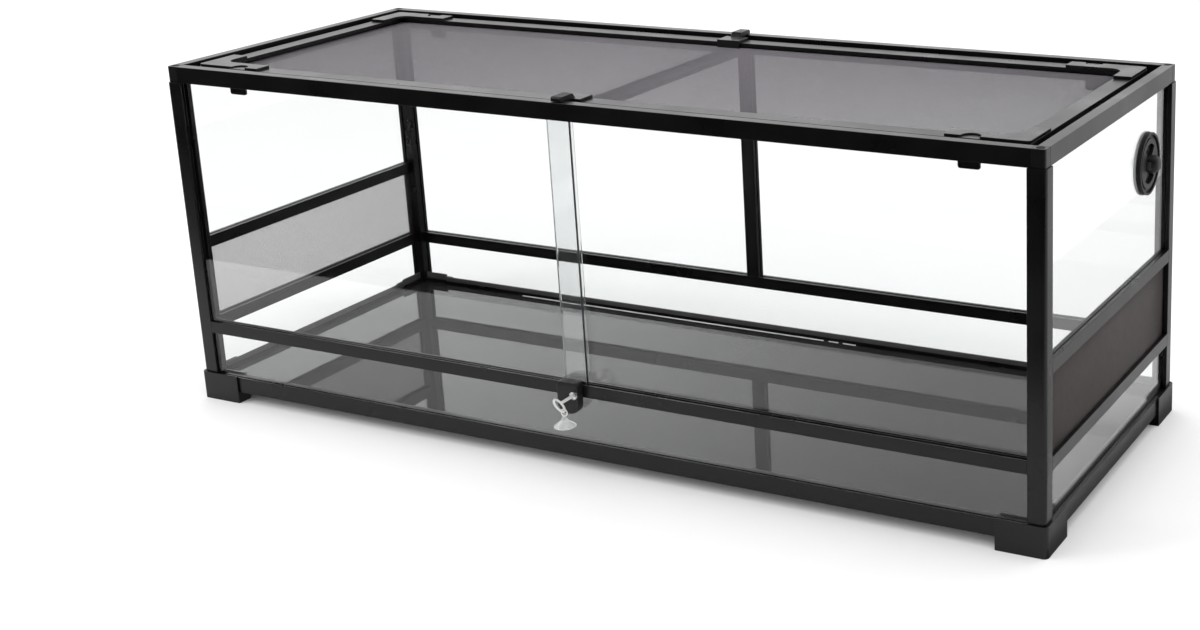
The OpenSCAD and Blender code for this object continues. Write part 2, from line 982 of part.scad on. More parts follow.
// A corner plate over the joint of two bars, with a round finger notch for the latch pad.
module corner_plate() {
  arm_in_x = bar_x - corner_plate_l;
  arm_in_y = bar_y - 62;
  difference() {
    union() {
      block([arm_in_x, bar_in_y, bar_top], [bar_x, bar_y, plate_top]);
      block([bar_in_x, arm_in_y, bar_top], [bar_x, bar_y, plate_top]);
      // the fillet in the crook, over the mesh
      difference() {
        block([bar_in_x - 16, bar_in_y - 16, bar_top], [bar_in_x, bar_in_y, plate_top]);
        translate([bar_in_x - 16, bar_in_y - 16, bar_top - past])
          cylinder(r = 16, h = plate_t + 2 * past);
      }
    }
    edge_cut(bar_x, bar_y, 5, bar_top, plate_top);
    translate([latch_x, bar_y - pad_in, bar_top - past])
      cylinder(r = pad_r + 0.8, h = plate_t + 2 * past);
  }
}

module lid_corners() {
  placed(black_plastic)
    for (left = [false, true])
      for (front = [false, true])
        sided(left, front)
          corner_plate();
}

// A tee for the front: a plate over the bar, a web down to the crossbar, and a ribbed grip
// that stands over the rail, to lift the lid by.
module tee() {
  grip_left = -7.5;
  grip_right = 6.5;
  grip_top = tank_height + 6.3;
  groove_w = 1.2;
  placed(black_plastic) {
    block([-crossbar_w / 2, -bar_y, bar_top], [crossbar_w / 2, web_t - bar_in_y, plate_top]);
    block(
      [-crossbar_w / 2, -bar_in_y, flange_top],
      [crossbar_w / 2, web_t - bar_in_y, plate_top]
    );
    difference() {
      along_x(grip_left, grip_right)
        polygon([
          [-top_y + 4, tank_height + 0.4],
          [-top_y + 4, grip_top - 2],
          [-top_y + 6, grip_top],
          [-bar_y + 1, grip_top],
          [-bar_y + 6, plate_top],
          [-bar_y + 6, bar_top],
          [-lid_y, bar_top],
          [-lid_y, tank_height + 0.4]
        ]);
      for (x = [-5, -1.1, 2.8])
        block([x, -top_y, grip_top - 1], [x + groove_w, -bar_y, grip_top + past]);
    }
  }
}

module lid_tees() {
  tee();
  translate([0, 2 * centre_y, 0])
    mirror([0, 1, 0])
      tee();
}

// ---------------------------------------------------------------- latches

// A latch for the right back corner, slid in: a leg through the flange, a hook and a round pad.
module latch(left, front) {
  leg_top = bar_top + 0.3;
  pad_top = bar_top + 1.6;
  placed(black_plastic)
    sided(left, front)
      translate([latch_x, 0, 0]) {
        difference() {
          block([-latch_w / 2, latch_in_y, latch_bottom], [latch_w / 2, latch_in_y + latch_t, pad_top]);
          // the leg's lower corners are rounded
          for (side = [0, 1])
            mirror([side, 0, 0])
              translate([latch_w / 2 - 3, latch_in_y - past, latch_bottom + 3])
                difference() {
                  translate([0, 0, -3 - past])
                    cube([3 + past, latch_t + 2 * past, 3 + past]);
                  rotate([-90, 0, 0])
                    cylinder(r = 3, h = latch_t + 2 * past);
                }
        }
        block(
          [-latch_w / 2, latch_in_y + latch_t, latch_hook_z],
          [latch_w / 2, latch_in_y + latch_t + latch_hook, ledge_z - 0.5]
        );
        intersection() {
          translate([0, bar_y - pad_in, leg_top])
            cylinder(r = pad_r, h = pad_top - leg_top);
          block([-pad_r - 1, bar_in_y, leg_top], [pad_r + 1, latch_in_y + past, pad_top]);
        }
      }
}

// ---------------------------------------------------------------- nodes

module foot_front_left() { placed(black_plastic) sided(true, true) foot(); }
module foot_front_right() { placed(black_plastic) sided(false, true) foot(); }
module foot_back_left() { placed(black_plastic) sided(true, false) foot(); }
module foot_back_right() { placed(black_plastic) sided(false, false) foot(); }
module post_front_left() { post_front(true); }
module post_front_right() { post_front(false); }
module post_back_left() { post_back(true); }
module post_back_right() { post_back(false); }
module rail_bottom_front() { placed(black_metal) sided(false, true) bottom_rail_long(outer_track); }
module rail_bottom_back() { placed(black_metal) bottom_rail_long(pane_plane); }
module rail_bottom_left() { placed(black_metal) sided(true, false) bottom_rail_short(); }
module rail_bottom_right() { placed(black_metal) bottom_rail_short(); }
module belt_rail_left() { placed(black_metal) sided(true, false) side_rail(belt_z); }
module belt_rail_right() { placed(black_metal) side_rail(belt_z); }
module mesh_rail_left() { placed(black_metal) sided(true, false) side_rail(mesh_rail_z); }
module mesh_rail_right() { placed(black_metal) side_rail(mesh_rail_z); }
module rail_top_left() { rail_top_side(true); }
module rail_top_right() { rail_top_side(false); }
module pane_left_lower() { pane_side_lower(true); }
module pane_right_lower() { pane_side_lower(false); }
module pane_back_upper_left() { pane_back_upper(true); }
module pane_back_upper_right() { pane_back_upper(false); }
module side_mesh_left() { side_mesh(true); }
module side_mesh_right() { side_mesh(false); }
module lid_bar_front() { placed(black_metal) sided(false, true) lid_bar_long(); }
module lid_bar_back() { placed(black_metal) lid_bar_long(); }
module lid_bar_left() { placed(black_metal) sided(true, false) lid_bar_short(); }
module lid_bar_right() { placed(black_metal) lid_bar_short(); }
module latch_front_left() { latch(true, true); }
module latch_front_right() { latch(false, true); }
module latch_back_left() { latch(true, false); }
module latch_back_right() { latch(false, false); }

foot_front_left();
foot_front_right();
foot_back_left();
foot_back_right();
post_front_left();
post_front_right();
post_back_left();
post_back_right();
rail_bottom_front();
rail_bottom_back();
rail_bottom_left();
rail_bottom_right();
door_rail();
belt_rail_back();
belt_rail_left();
belt_rail_right();
mesh_rail_left();
mesh_rail_right();
mullion_back();
rail_top_front();
rail_top_back();
rail_top_left();
rail_top_right();
top_corners();
corner_caps();
base_pane();
pane_front_lower();
pane_back_lower();
pane_left_lower();
pane_right_lower();
pane_back_upper_left();
pane_back_upper_right();
pane_left_upper();
pane_right_upper();
side_mesh_left();
side_mesh_right();
door_left();
door_right();
lock_housing();
lock_plug();
lock_cam();
key();
key_link();
suction_cup();
vent_flange();
vent_grille();
vent_clamp_ring();
vent_shutter();
lid_bar_front();
lid_bar_back();
lid_bar_left();
lid_bar_right();
lid_crossbar();
lid_mesh();
lid_corners();
lid_tees();
latch_front_left();
latch_front_right();
latch_back_left();
latch_back_right();
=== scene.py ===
# %% [markdown]
# # A reptile terrarium, dressed for its portrait
#
# The frame of this tank is already solid: rails, posts, glass, doors, lid, vent and lock
# come in as one fixed model, in metres, and the record names the body that moves each piece.
# What is missing is everything the eye reads as real: softened edges that catch light,
# woven wire in place of flat sheets, and a finish for each material.
#
# The first cell brings the frame in and keeps its record.

# %% Bring in the frame
import json
import math

import bmesh
import bpy
import numpy as np
from mathutils import Matrix, Vector


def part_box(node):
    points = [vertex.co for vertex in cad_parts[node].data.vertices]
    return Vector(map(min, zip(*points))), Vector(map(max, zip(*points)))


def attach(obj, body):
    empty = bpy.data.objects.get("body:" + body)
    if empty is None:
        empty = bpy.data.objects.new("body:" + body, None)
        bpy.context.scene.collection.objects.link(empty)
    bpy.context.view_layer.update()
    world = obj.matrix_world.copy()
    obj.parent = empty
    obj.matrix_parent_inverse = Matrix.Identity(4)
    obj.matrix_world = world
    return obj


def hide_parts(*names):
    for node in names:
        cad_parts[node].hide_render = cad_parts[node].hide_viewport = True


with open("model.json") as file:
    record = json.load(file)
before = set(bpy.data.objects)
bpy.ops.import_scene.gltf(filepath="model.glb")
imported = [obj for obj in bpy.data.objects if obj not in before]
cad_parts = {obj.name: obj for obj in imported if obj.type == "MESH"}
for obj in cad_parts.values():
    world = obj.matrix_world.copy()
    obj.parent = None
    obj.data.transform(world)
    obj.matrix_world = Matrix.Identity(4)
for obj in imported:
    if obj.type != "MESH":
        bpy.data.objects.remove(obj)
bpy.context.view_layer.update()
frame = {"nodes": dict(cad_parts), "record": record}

nodes = frame["nodes"]
body_of = {n: b for b, members in frame["record"]["behaviour"]["bodies"].items() for n in members}
slot_of = {s["node"]: s["material_slot"] for s in frame["record"]["subparts"]}
MM = 0.001

# %% [markdown]
# ## Colour
#
# Colours are easiest to pick as the hex values that paint charts and screens use. A shader
# works in linear light, so one function turns a hex value into that, and every colour goes
# through it.

# %% Hex colours to linear light
def linear(hex_colour):
    """Each sRGB channel c becomes ((c + 0.055) / 1.055) ** 2.4, or c / 12.92 below 0.04045."""
    c = np.array([int(hex_colour[i:i + 2], 16) for i in (1, 3, 5)]) / 255
    low, high = c / 12.92, ((c + 0.055) / 1.055) ** 2.4
    return tuple(np.where(c <= 0.04045, low, high)) + (1.0,)


print("mid grey is", [round(v, 3) for v in linear("#808080")])

# %% [markdown]
# ## Building a material from nodes
#
# A procedural material is a small graph. One helper adds a node, sets its options and fills
# its inputs, where an input is a plain value or the output of another node. A second one
# opens a new material. A third is what most finishes here share: a slow noise that moves
# the colour and the roughness together, so no surface is one flat tone.

# %% The material helpers
def add(tree, kind, inputs=(), **options):
    """Adds a node. inputs maps an input's name or number to a value or another node's output."""
    made = tree.nodes.new(kind)
    for key, value in options.items():
        setattr(made, key, value)
    for key, value in dict(inputs).items():
        if isinstance(value, bpy.types.NodeSocket):
            tree.links.new(value, made.inputs[key])
        else:
            made.inputs[key].default_value = value
    return made


def open_material(name):
    """A new material, its node tree, its Principled shader and its object coordinates."""
    made = bpy.data.materials.new(name)
    made.use_nodes = True
    tree = made.node_tree
    shader = next(n for n in tree.nodes if n.type == "BSDF_PRINCIPLED")
    place = add(tree, "ShaderNodeTexCoord").outputs["Object"]
    return made, tree, shader, place


def mottle(tree, shader, noise, first, second, rough=None, over=(0.0, 1.0)):
    """Colour goes from first to second as noise goes from 0 to 1.

    Roughness goes over the rough pair as noise goes over the over pair, if rough is given.
    """
    tone = add(tree, "ShaderNodeMix", {0: noise, 6: linear(first), 7: linear(second)},
               data_type="RGBA")
    tree.links.new(tone.outputs[2], shader.inputs["Base Color"])
    if rough:
        spread = add(tree, "ShaderNodeMapRange",
                     {"Value": noise, "From Min": over[0], "From Max": over[1],
                      "To Min": rough[0], "To Max": rough[1]})
        tree.links.new(spread.outputs[0], shader.inputs["Roughness"])


def per_mm(size):
    """A noise's scale, in cells per metre, for a pattern whose features are size millimetres."""
    return 1 / (size * MM)


print("a 2 mm pattern has scale", per_mm(2))

# %% [markdown]
# ## Powder-coated aluminium
#
# The rails and posts are aluminium extrusions under black powder coat. The powder melts
# into a skin with a faint orange peel, and a long extrusion keeps slight draw lines that
# run its whole length. Both are very low, so they only break up reflections. Really both
# are under a millimetre wide, too fine to show, so they are drawn at 2.5 and 1.6 mm.

# %% Powder coat, for rails that run along one axis
PEEL, CLOUD = per_mm(2.5), per_mm(70)
ALONG, ACROSS = per_mm(400), per_mm(1.6)
STREAK_SHARE = 0.6
MIDDLE = (0.3, 0.7)  # most of a noise's values lie in here


def powder_coat(name, stretch, dark, pale, roughness):
    """Height is 0.6 times the streaks plus the peel; a cloud moves colour and roughness.

    stretch is the streaks' scale on x, y and z: low along the rail, high across it.
    """
    made, tree, shader, place = open_material(name)
    drawn = add(tree, "ShaderNodeMapping", {"Vector": place, "Scale": stretch}).outputs[0]
    streaks = add(tree, "ShaderNodeTexNoise", {"Vector": drawn, "Scale": 1.0, "Detail": 3.0})
    peel = add(tree, "ShaderNodeTexNoise", {"Vector": place, "Scale": PEEL, "Detail": 2.0})
    cloud = add(tree, "ShaderNodeTexNoise", {"Vector": place, "Scale": CLOUD, "Detail": 4.0})
    mottle(tree, shader, cloud.outputs["Fac"], dark, pale,
           (roughness - 0.04, roughness + 0.05), MIDDLE)
    height = add(tree, "ShaderNodeMath",
                 {0: streaks.outputs["Fac"], 1: STREAK_SHARE, 2: peel.outputs["Fac"]},
                 operation="MULTIPLY_ADD")
    bump = add(tree, "ShaderNodeBump", {"Height": height.outputs[0], "Strength": 0.12,
                                        "Distance": 0.05 * MM})
    tree.links.new(bump.outputs[0], shader.inputs["Normal"])
    shader.inputs["IOR"].default_value = 1.4
    return made


COAT = {axis: powder_coat("powder_coat_drawn_along_" + axis,
                          [ALONG if other == axis else ACROSS for other in "xyz"],
                          "#040304", "#0b0a0a", 0.3)
        for axis in "xyz"}
print("powder coats:", [m.name for m in COAT.values()])

# %% [markdown]
# ## Moulded ABS
#
# Feet, corner blocks, lid corners, latches, lock and vent are injection moulded. A mould is
# spark-eroded or bead-blasted, which leaves an even fine grain and a soft sheen, a little
# duller and greyer than the powder coat. The grain is drawn at 0.7 to 0.9 mm, about three
# times its real size, so that it shows at all. The lid's plastic is the smoothest, so it
# picks up the bright room; lock and vent are duller. The vent's clamp ring is coloured pale
# grey, the one light piece of plastic on the tank: that pale grey is painted reflection,
# standing in for the light crescent that the vent's own reflection in the glass makes at its
# left.

# %% Moulded plastic
FLOW = per_mm(35)


def moulded(name, dark, pale, roughness, grain):
    """Height comes from cells of grain millimetres; a slow cloud moves colour and roughness."""
    made, tree, shader, place = open_material(name)
    cloud = add(tree, "ShaderNodeTexNoise", {"Vector": place, "Scale": FLOW, "Detail": 5.0})
    cells = add(tree, "ShaderNodeTexVoronoi", {"Vector": place, "Scale": per_mm(grain)})
    mottle(tree, shader, cloud.outputs["Fac"], dark, pale,
           (roughness - 0.05, roughness + 0.05), MIDDLE)
    bump = add(tree, "ShaderNodeBump", {"Height": cells.outputs["Distance"], "Strength": 0.15,
                                        "Distance": 0.08 * MM})
    tree.links.new(bump.outputs[0], shader.inputs["Normal"])
    shader.inputs["IOR"].default_value = 1.42
    return made


ABS = moulded("moulded_black_abs", "#050405", "#0d0b0c", 0.36, 0.9)
ABS_LID = moulded("moulded_black_abs_lid", "#0b0a0b", "#161415", 0.3, 0.9)
LOCK_ABS = moulded("moulded_black_abs_lock", "#0b0a0b", "#171516", 0.46, 0.7)
VENT_ABS = moulded("moulded_black_abs_vent", "#0a090a", "#161415", 0.5, 0.7)
# The clamp ring's pale grey is painted reflection: the vent's crescent reflected in the glass.
PALE_ABS_PAINTED_REFLECTION = moulded("pale_grey_abs_painted_reflection", "#c4c2c5", "#d0ced1", 0.45, 0.9)
print("plastics:", [m.name for m in (ABS, ABS_LID, LOCK_ABS, VENT_ABS, PALE_ABS_PAINTED_REFLECTION)])

# %% [markdown]
# ## Float glass
#
# Glass is drawn as one closed slab, so that light bends in and out of it. A renderer that
# traces lamps straight to what they light would call a pane opaque, so rays from lamps go
# through a plain tinted Transparent shader instead. The long faces are polished by floating
# on tin, and the cut edges are ground, so the edges are told apart by which way they face
# and given a frosted, greener look.

# %% Clear panes
EDGE_ROUGHNESS = 0.35


def float_glass(name, face_axis, tint, edge_tint):
    """Clear glass, with a ground edge where the normal's part along face_axis is under 0.5."""
    made, tree, shader, place = open_material(name)
    facing = add(tree, "ShaderNodeSeparateXYZ",
                 {0: add(tree, "ShaderNodeTexCoord").outputs["Normal"]}).outputs[face_axis]
    flat = add(tree, "ShaderNodeMath", {0: facing}, operation="ABSOLUTE").outputs[0]
    edge = add(tree, "ShaderNodeMath", {0: flat, 1: 0.5}, operation="LESS_THAN").outputs[0]
    mottle(tree, shader, edge, tint, edge_tint)
    rough = add(tree, "ShaderNodeMath", {0: edge, 1: EDGE_ROUGHNESS}, operation="MULTIPLY")
    tree.links.new(rough.outputs[0], shader.inputs["Roughness"])
    shader.inputs["Transmission Weight"].default_value = 1.0
    shader.inputs["IOR"].default_value = 1.45
    through = add(tree, "ShaderNodeBsdfTransparent", {0: linear(tint)})
    lamps = add(tree, "ShaderNodeLightPath").outputs["Is Shadow Ray"]
    mixed = add(tree, "ShaderNodeMixShader",
                {0: lamps, 1: shader.outputs[0], 2: through.outputs[0]})
    end = next(n for n in tree.nodes if n.type == "OUTPUT_MATERIAL")
    tree.links.new(mixed.outputs[0], end.inputs["Surface"])
    return made


GLASS = {
    "x": float_glass("float_glass_side_walls", "X", "#fcfdfd", "#a9b5b1"),
    "y": float_glass("float_glass_front_and_back", "Y", "#fcfdfd", "#a9b5b1"),
}
print("glass:", [m.name for m in GLASS.values()])

# %% [markdown]
# ## The dark base
#
# The base is float glass with a dark backing, so it doesn't let light through: it works as
# a dim mirror. A nearly black colour with a very smooth surface gives the eye the rails'
# images in it. A thin film of dust in patches of 120 mm keeps the mirror from looking like
# a hole. The dust's grains are far too fine to draw, so only the patches are.

# %% Dark-backed glass
def dark_glass(name):
    """As the dust noise rises, colour and roughness rise a little above black and mirror."""
    made, tree, shader, place = open_material(name)
    dust = add(tree, "ShaderNodeTexNoise", {"Vector": place, "Scale": per_mm(120), "Detail": 6.0})
    mottle(tree, shader, dust.outputs["Fac"], "#1a191a", "#252425", (0.003, 0.02), (0.35, 0.7))
    shader.inputs["IOR"].default_value = 1.31
    return made


BASE_GLASS = dark_glass("dark_backed_float_glass")
print("base:", BASE_GLASS.name)

# %% [markdown]
# ## Coated wire
#
# The mesh is drawn steel wire, dipped in a thin coat, dark and brownish. The lid's wire is the
# same coated wire, coloured a lighter grey: that lighter grey is painted light, standing in
# for the light that its upward-facing wires catch. The coat has no grain of its own. What the
# eye gets is a satin thread whose tone drifts slowly, here over 9 mm, as the coat gets
# thicker and thinner.

# %% Wire finishes
def coated_wire(name, dark, pale, roughness):
    """Colour drifts from dark to pale with a noise of 9 mm; roughness is even."""
    made, tree, shader, place = open_material(name)
    patch = add(tree, "ShaderNodeTexNoise", {"Vector": place, "Scale": per_mm(9), "Detail": 3.0})
    mottle(tree, shader, patch.outputs["Fac"], dark, pale)
    shader.inputs["Roughness"].default_value = roughness
    shader.inputs["IOR"].default_value = 1.35
    return made


WIRE = coated_wire("black_coated_steel_wire", "#4e4948", "#5f5958", 0.45)
# The lid's lighter grey is painted light: the same wire as the sides, lit from above.
LID_WIRE_PAINTED_LIGHT = coated_wire("coated_steel_wire_painted_lit_grey", "#736f74", "#827e84", 0.45)
print("wires:", WIRE.name, LID_WIRE_PAINTED_LIGHT.name)

# %% [markdown]
# ## Nickel and chrome
#
# The key and its link are nickel plated and tumbled in a drum, which leaves a fine satin
# skin full of tiny dents. A shader that is all metal would only mirror the dark front of the
# room, so this one is partly metallic and its other part scatters a near-white colour: that
# part is painted reflection, which makes the key glow softly white from all sides, as the
# bright glints on its bow do. The plug is turned and bright chromed, so it is all metal and
# has sharp glints. The marks are drawn at 0.5 and 0.8 mm, coarser than real ones, so that
# they show.

# %% Plated metals
MARK_LENGTH = 12


def plated(name, pale, dark, rough, width, metal=1.0):
    """Marks width mm wide and 12 mm long, from a stretched noise, move colour and roughness."""
    made, tree, shader, place = open_material(name)
    lines = add(tree, "ShaderNodeMapping",
                {"Vector": place, "Scale": (per_mm(width), per_mm(MARK_LENGTH), per_mm(width))})
    marks = add(tree, "ShaderNodeTexNoise",
                {"Vector": lines.outputs[0], "Scale": 1.0, "Detail": 3.0})
    mottle(tree, shader, marks.outputs["Fac"], pale, dark, rough)
    shader.inputs["Metallic"].default_value = metal
    return made


# Only 0.45 metal: the rest is near-white scatter, painted reflection that lights the key up white.
NICKEL_PAINTED_REFLECTION = plated("nickel_plate_painted_reflection", "#f1f0ee", "#dcdbd9", (0.16, 0.3), 0.5, metal=0.45)
CHROME = plated("bright_chrome_plate", "#e9ebee", "#c9ccd1", (0.05, 0.12), 0.8)
print("plated:", NICKEL_PAINTED_REFLECTION.name, CHROME.name)

# %% [markdown]
# ## Clear plastics
#
# Three clear plastics are softer and cloudier than glass. The suction cup is moulded vinyl,
# made a little milky: that milky white is partly painted highlight, so that the thick nub and
# the rim show bright white. The sealant is silicone, made to let less light through, so it
# shows as a pale line: that pale white is painted highlight, standing in for the glint along
# the bead. The door's seal is extruded PVC, nearly as clear as the glass that it hangs on.
# One function makes all three, from how much light gets through and how smooth the skin is.

# %% Vinyl, silicone and PVC
def clear_plastic(name, clarity, roughness):
    """A faint cloud of 8 mm in the colour; clarity is the share of light let through."""
    made, tree, shader, place = open_material(name)
    cloud = add(tree, "ShaderNodeTexNoise", {"Vector": place, "Scale": per_mm(8), "Detail": 3.0})
    mottle(tree, shader, cloud.outputs["Fac"], "#fefefe", "#f6f8f8")
    shader.inputs["Transmission Weight"].default_value = clarity
    shader.inputs["Roughness"].default_value = roughness
    shader.inputs["IOR"].default_value = 1.5
    return made


# The vinyl's milky white is partly painted highlight: it makes the nub and the rim show bright
# white.
VINYL_PAINTED_HIGHLIGHT = clear_plastic("milky_vinyl_painted_highlight", 0.78, 0.05)
# The silicone's pale white is painted highlight: it draws the glint along the back wall's foot.
SILICONE_PAINTED_GLINT = clear_plastic("silicone_sealant_painted_glint", 0.35, 0.2)
PVC = clear_plastic("clear_extruded_pvc", 0.98, 0.02)
print("clear plastics:", VINYL_PAINTED_HIGHLIGHT.name, SILICONE_PAINTED_GLINT.name, PVC.name)

# %% [markdown]
# ## Putting numbers into a mesh
#
# Every new shape below is worked out as whole arrays: rows of points, and faces that join
# them. One function turns such arrays into an object, hangs it on its body, and gives it
# its finish. Normals are made to point outwards there, once, for every closed shape.

# %% Arrays to a riding piece
def piece(name, points, faces, finish, body, smooth_angle=40, replaced=()):
    """A mesh from an (n, 3) array and an index array or list, riding on body.

    Edges sharper than smooth_angle degrees stay sharp; replaced lists the nodes it stands for.
    """
    mesh = bpy.data.meshes.new(name)
    mesh.from_pydata(np.asarray(points).tolist(), [], [list(f) for f in faces])
    shape = bmesh.new()
    shape.from_mesh(mesh)
    bmesh.ops.recalc_face_normals(shape, faces=shape.faces)
    shape.to_mesh(mesh)
    shape.free()
    mesh.shade_smooth()
    mesh.set_sharp_from_angle(angle=math.radians(smooth_angle))
    mesh.materials.append(finish)
    made = bpy.data.objects.new(name, mesh)
    bpy.context.scene.collection.objects.link(made)
    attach(made, body)
    if replaced:
        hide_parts(*replaced)
    return made


def corners(node):
    """The lowest and highest corner of a frame node, as arrays."""
    low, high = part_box(node)
    return np.array(low), np.array(high)


print("the base pane's top is at z =", round(float(corners("base_pane")[1][2]), 4))

# %% [markdown]
# ## Softened edges
#
# No extruded or moulded edge is truly sharp: a die or a mould leaves about half a
# millimetre of round, and that thin round is what catches the light along every rail. The
# frame's solids have true corners, so a black piece is copied, its loose triangles are
# merged into plain faces, and a live Bevel rounds the edges. The copy stands for the node.
# A copy can also be reshaped before it is rounded, by a function from points to points.

# %% A copy with rounded edges
MERGE_WITHIN, FLAT_WITHIN = 0.002 * MM, math.radians(0.5)
BEVEL_FROM, SMOOTH_UP_TO = math.radians(30), math.radians(35)


def softened(node, finish, width, reshape=None):
    """A copy of a frame node: doubles merged, flat areas joined, edges over 30 degrees beveled.

    width is in millimetres. reshape maps the copy's (n, 3) array of points to new ones.
    """
    shape = bmesh.new()
    shape.from_mesh(nodes[node].data)
    bmesh.ops.remove_doubles(shape, verts=shape.verts, dist=MERGE_WITHIN)
    bmesh.ops.dissolve_limit(shape, angle_limit=FLAT_WITHIN, verts=shape.verts,
                             edges=shape.edges)
    bmesh.ops.recalc_face_normals(shape, faces=shape.faces)
    mesh = bpy.data.meshes.new(node + "_soft")
    shape.to_mesh(mesh)
    shape.free()
    if reshape:
        points = np.empty(3 * len(mesh.vertices))
        mesh.vertices.foreach_get("co", points)
        mesh.vertices.foreach_set("co", reshape(points.reshape(-1, 3)).ravel())
    mesh.shade_smooth()
    mesh.set_sharp_from_angle(angle=SMOOTH_UP_TO)
    mesh.materials.append(finish)
    made = bpy.data.objects.new(node + "_soft", mesh)
    bpy.context.scene.collection.objects.link(made)
    rounding = made.modifiers.new("rounded_edges", "BEVEL")
    rounding.width = width * MM
    rounding.segments = 2
    rounding.limit_method = "ANGLE"
    rounding.angle_limit = BEVEL_FROM
    rounding.harden_normals = True
    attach(made, body_of[node])
    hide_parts(node)
    return made


print("bevels start at", round(math.degrees(BEVEL_FROM)), "degrees")

# %% [markdown]
# ## The black pieces
#
# Rails and posts get the powder coat whose streaks run along their longest side, as the
# extrusion was drawn. Everything moulded gets ABS. The little caps over the corner screws
# are pressed in afterwards and are softer and duller than what surrounds them.

# %% Rails, posts, feet and lid
CAPS = moulded("moulded_soft_black_caps", "#050405", "#0a0909", 0.75, 0.9)
MOULDED = {"frame_plastic": ABS, "lid_plastic": ABS_LID, "latch_plastic": ABS_LID}
DRAWN = {"frame_metal", "lid_metal"}


def finish_of(node):
    """A black node's finish: by its slot, and for drawn metal by the way its longest side runs."""
    if node == "corner_caps":
        return CAPS
    low, high = corners(node)
    longest = "xyz"[int(np.argmax(high - low))]
    return COAT[longest] if slot_of[node] in DRAWN else MOULDED[slot_of[node]]


black = [n for n in sorted(nodes) if slot_of[n] in DRAWN | set(MOULDED)]
for node in black:
    softened(node, finish_of(node), 0.5)
print("softened", len(black), "black pieces")

# %% [markdown]
# ## Finishes for the nodes that stay
#
# The panes, the doors and the key's wire link already have the right shape, so they keep it
# and only get their finish.

# %% Finishes on the frame's own nodes
PANE_THINNER_THAN = 10 * MM


def dress(node, finish):
    """Gives a frame node its finish, in the object's own material slots."""
    for slot in nodes[node].material_slots:
        slot.material = finish


panes = [n for n, slot in slot_of.items() if slot in ("wall_glass", "door_glass")]
for node in panes:
    low, high = corners(node)
    dress(node, GLASS["x" if high[0] - low[0] < PANE_THINNER_THAN else "y"])
dress("base_pane", BASE_GLASS)
dress("key_link", NICKEL_PAINTED_REFLECTION)
print("dressed", len(panes), "panes, the base and the link")

# %% [markdown]
# ## Woven wire
#
# Wire cloth is two sets of parallel wires. From any distance the over-and-under can't be
# seen, but the two layers and the gaps can, and they are what makes the mesh turn from
# clear to dark as the view gets lower. So each set is an array of straight four-sided
# wires, one set lying on the other. All wires of a set come from one broadcast: a list of
# places times one small section.

# %% A layer of parallel wires
def wires(starts, ends, up, radius):
    """Straight wires: each is a diamond section at its start and end, joined by four faces.

    The section's corners are +-radius along up and along the wire's sideways direction.
    """
    starts, ends, up = (np.asarray(a, float) for a in (starts, ends, up))
    run = ends - starts
    side = np.cross(run / np.linalg.norm(run, axis=1, keepdims=True), up)
    up = np.broadcast_to(up, side.shape)
    ring = np.stack([side, up, -side, -up], 1) * radius
    points = np.concatenate([starts[:, None] + ring, ends[:, None] + ring], 1)
    around = np.arange(4)
    after = (around + 1) % 4
    one = np.stack([around, after, after + 4, around + 4], 1)
    one = np.vstack([one, [[3, 2, 1, 0]], [[4, 5, 6, 7]]])
    faces = one[None] + 8 * np.arange(len(starts))[:, None, None]
    return points.reshape(-1, 3), faces.reshape(-1, 4)


def cloth(origin, first, second, size, pitch, radius):
    """Two wire layers over a rectangle: origin is its corner, first and second its directions."""
    origin, first, second = (np.asarray(a, float) for a in (origin, first, second))
    up = np.cross(first, second)
    count = np.floor(np.asarray(size) / pitch).astype(int)
    margin = (np.asarray(size) - (count - 1) * pitch) / 2
    across = origin + (margin[0] + pitch * np.arange(count[0]))[:, None] * first - up * radius
    along = origin + (margin[1] + pitch * np.arange(count[1]))[:, None] * second + up * radius
    p, f = wires(across, across + second * size[1], up, radius)
    q, g = wires(along, along + first * size[0], up, radius)
    return np.vstack([p, q]), np.vstack([f, g + len(p)])


print("one wire has", len(wires([(0, 0, 0)], [(1, 0, 0)], (0, 0, 1), 0.1)[1]), "faces")

# %% [markdown]
# ## Cloth in the frames
#
# The frame holds each screen as a flat sheet. The side strips are woven at 1.6 mm from
# 0.6 mm wire, so they look nearly solid at a slant; the lid's screen has a 1.5 mm mesh of
# 0.3 mm wire and stays airy. The cloth lies in the sheet's middle plane and stops 1 mm
# short of its edges, inside the rails that clamp it.

# %% Three sheets of cloth
SHEET_INSET = 1 * MM
SIDE_PITCH, SIDE_RADIUS = 1.6 * MM, 0.3 * MM
LID_PITCH, LID_RADIUS = 1.5 * MM, 0.152 * MM
ACROSS_CORNERS = 100  # degrees: a wire's four corners of 90 degrees shade as if it were round


def wire_sheet(node, first, second, pitch, radius, finish):
    """Wire cloth in the middle plane of a sheet node, inset a little from its edges."""
    low, high = corners(node)
    first, second = np.asarray(first, float), np.asarray(second, float)
    normal = np.abs(np.cross(first, second))
    origin = low + SHEET_INSET * (first + second) + normal * (high - low) / 2
    size = [(high - low) @ way - 2 * SHEET_INSET for way in (first, second)]
    points, faces = cloth(origin, first, second, size, pitch, radius)
    return piece(node + "_wires", points, faces, finish, body_of[node],
                 smooth_angle=ACROSS_CORNERS, replaced=[node])


sheets = [wire_sheet(node, (0, 1, 0), (0, 0, 1), SIDE_PITCH, SIDE_RADIUS, WIRE)
          for node in ("side_mesh_left", "side_mesh_right")]
sheets.append(wire_sheet("lid_mesh", (1, 0, 0), (0, 1, 0), LID_PITCH, LID_RADIUS, LID_WIRE_PAINTED_LIGHT))
print("wire cloth faces:", [len(s.data.polygons) for s in sheets])

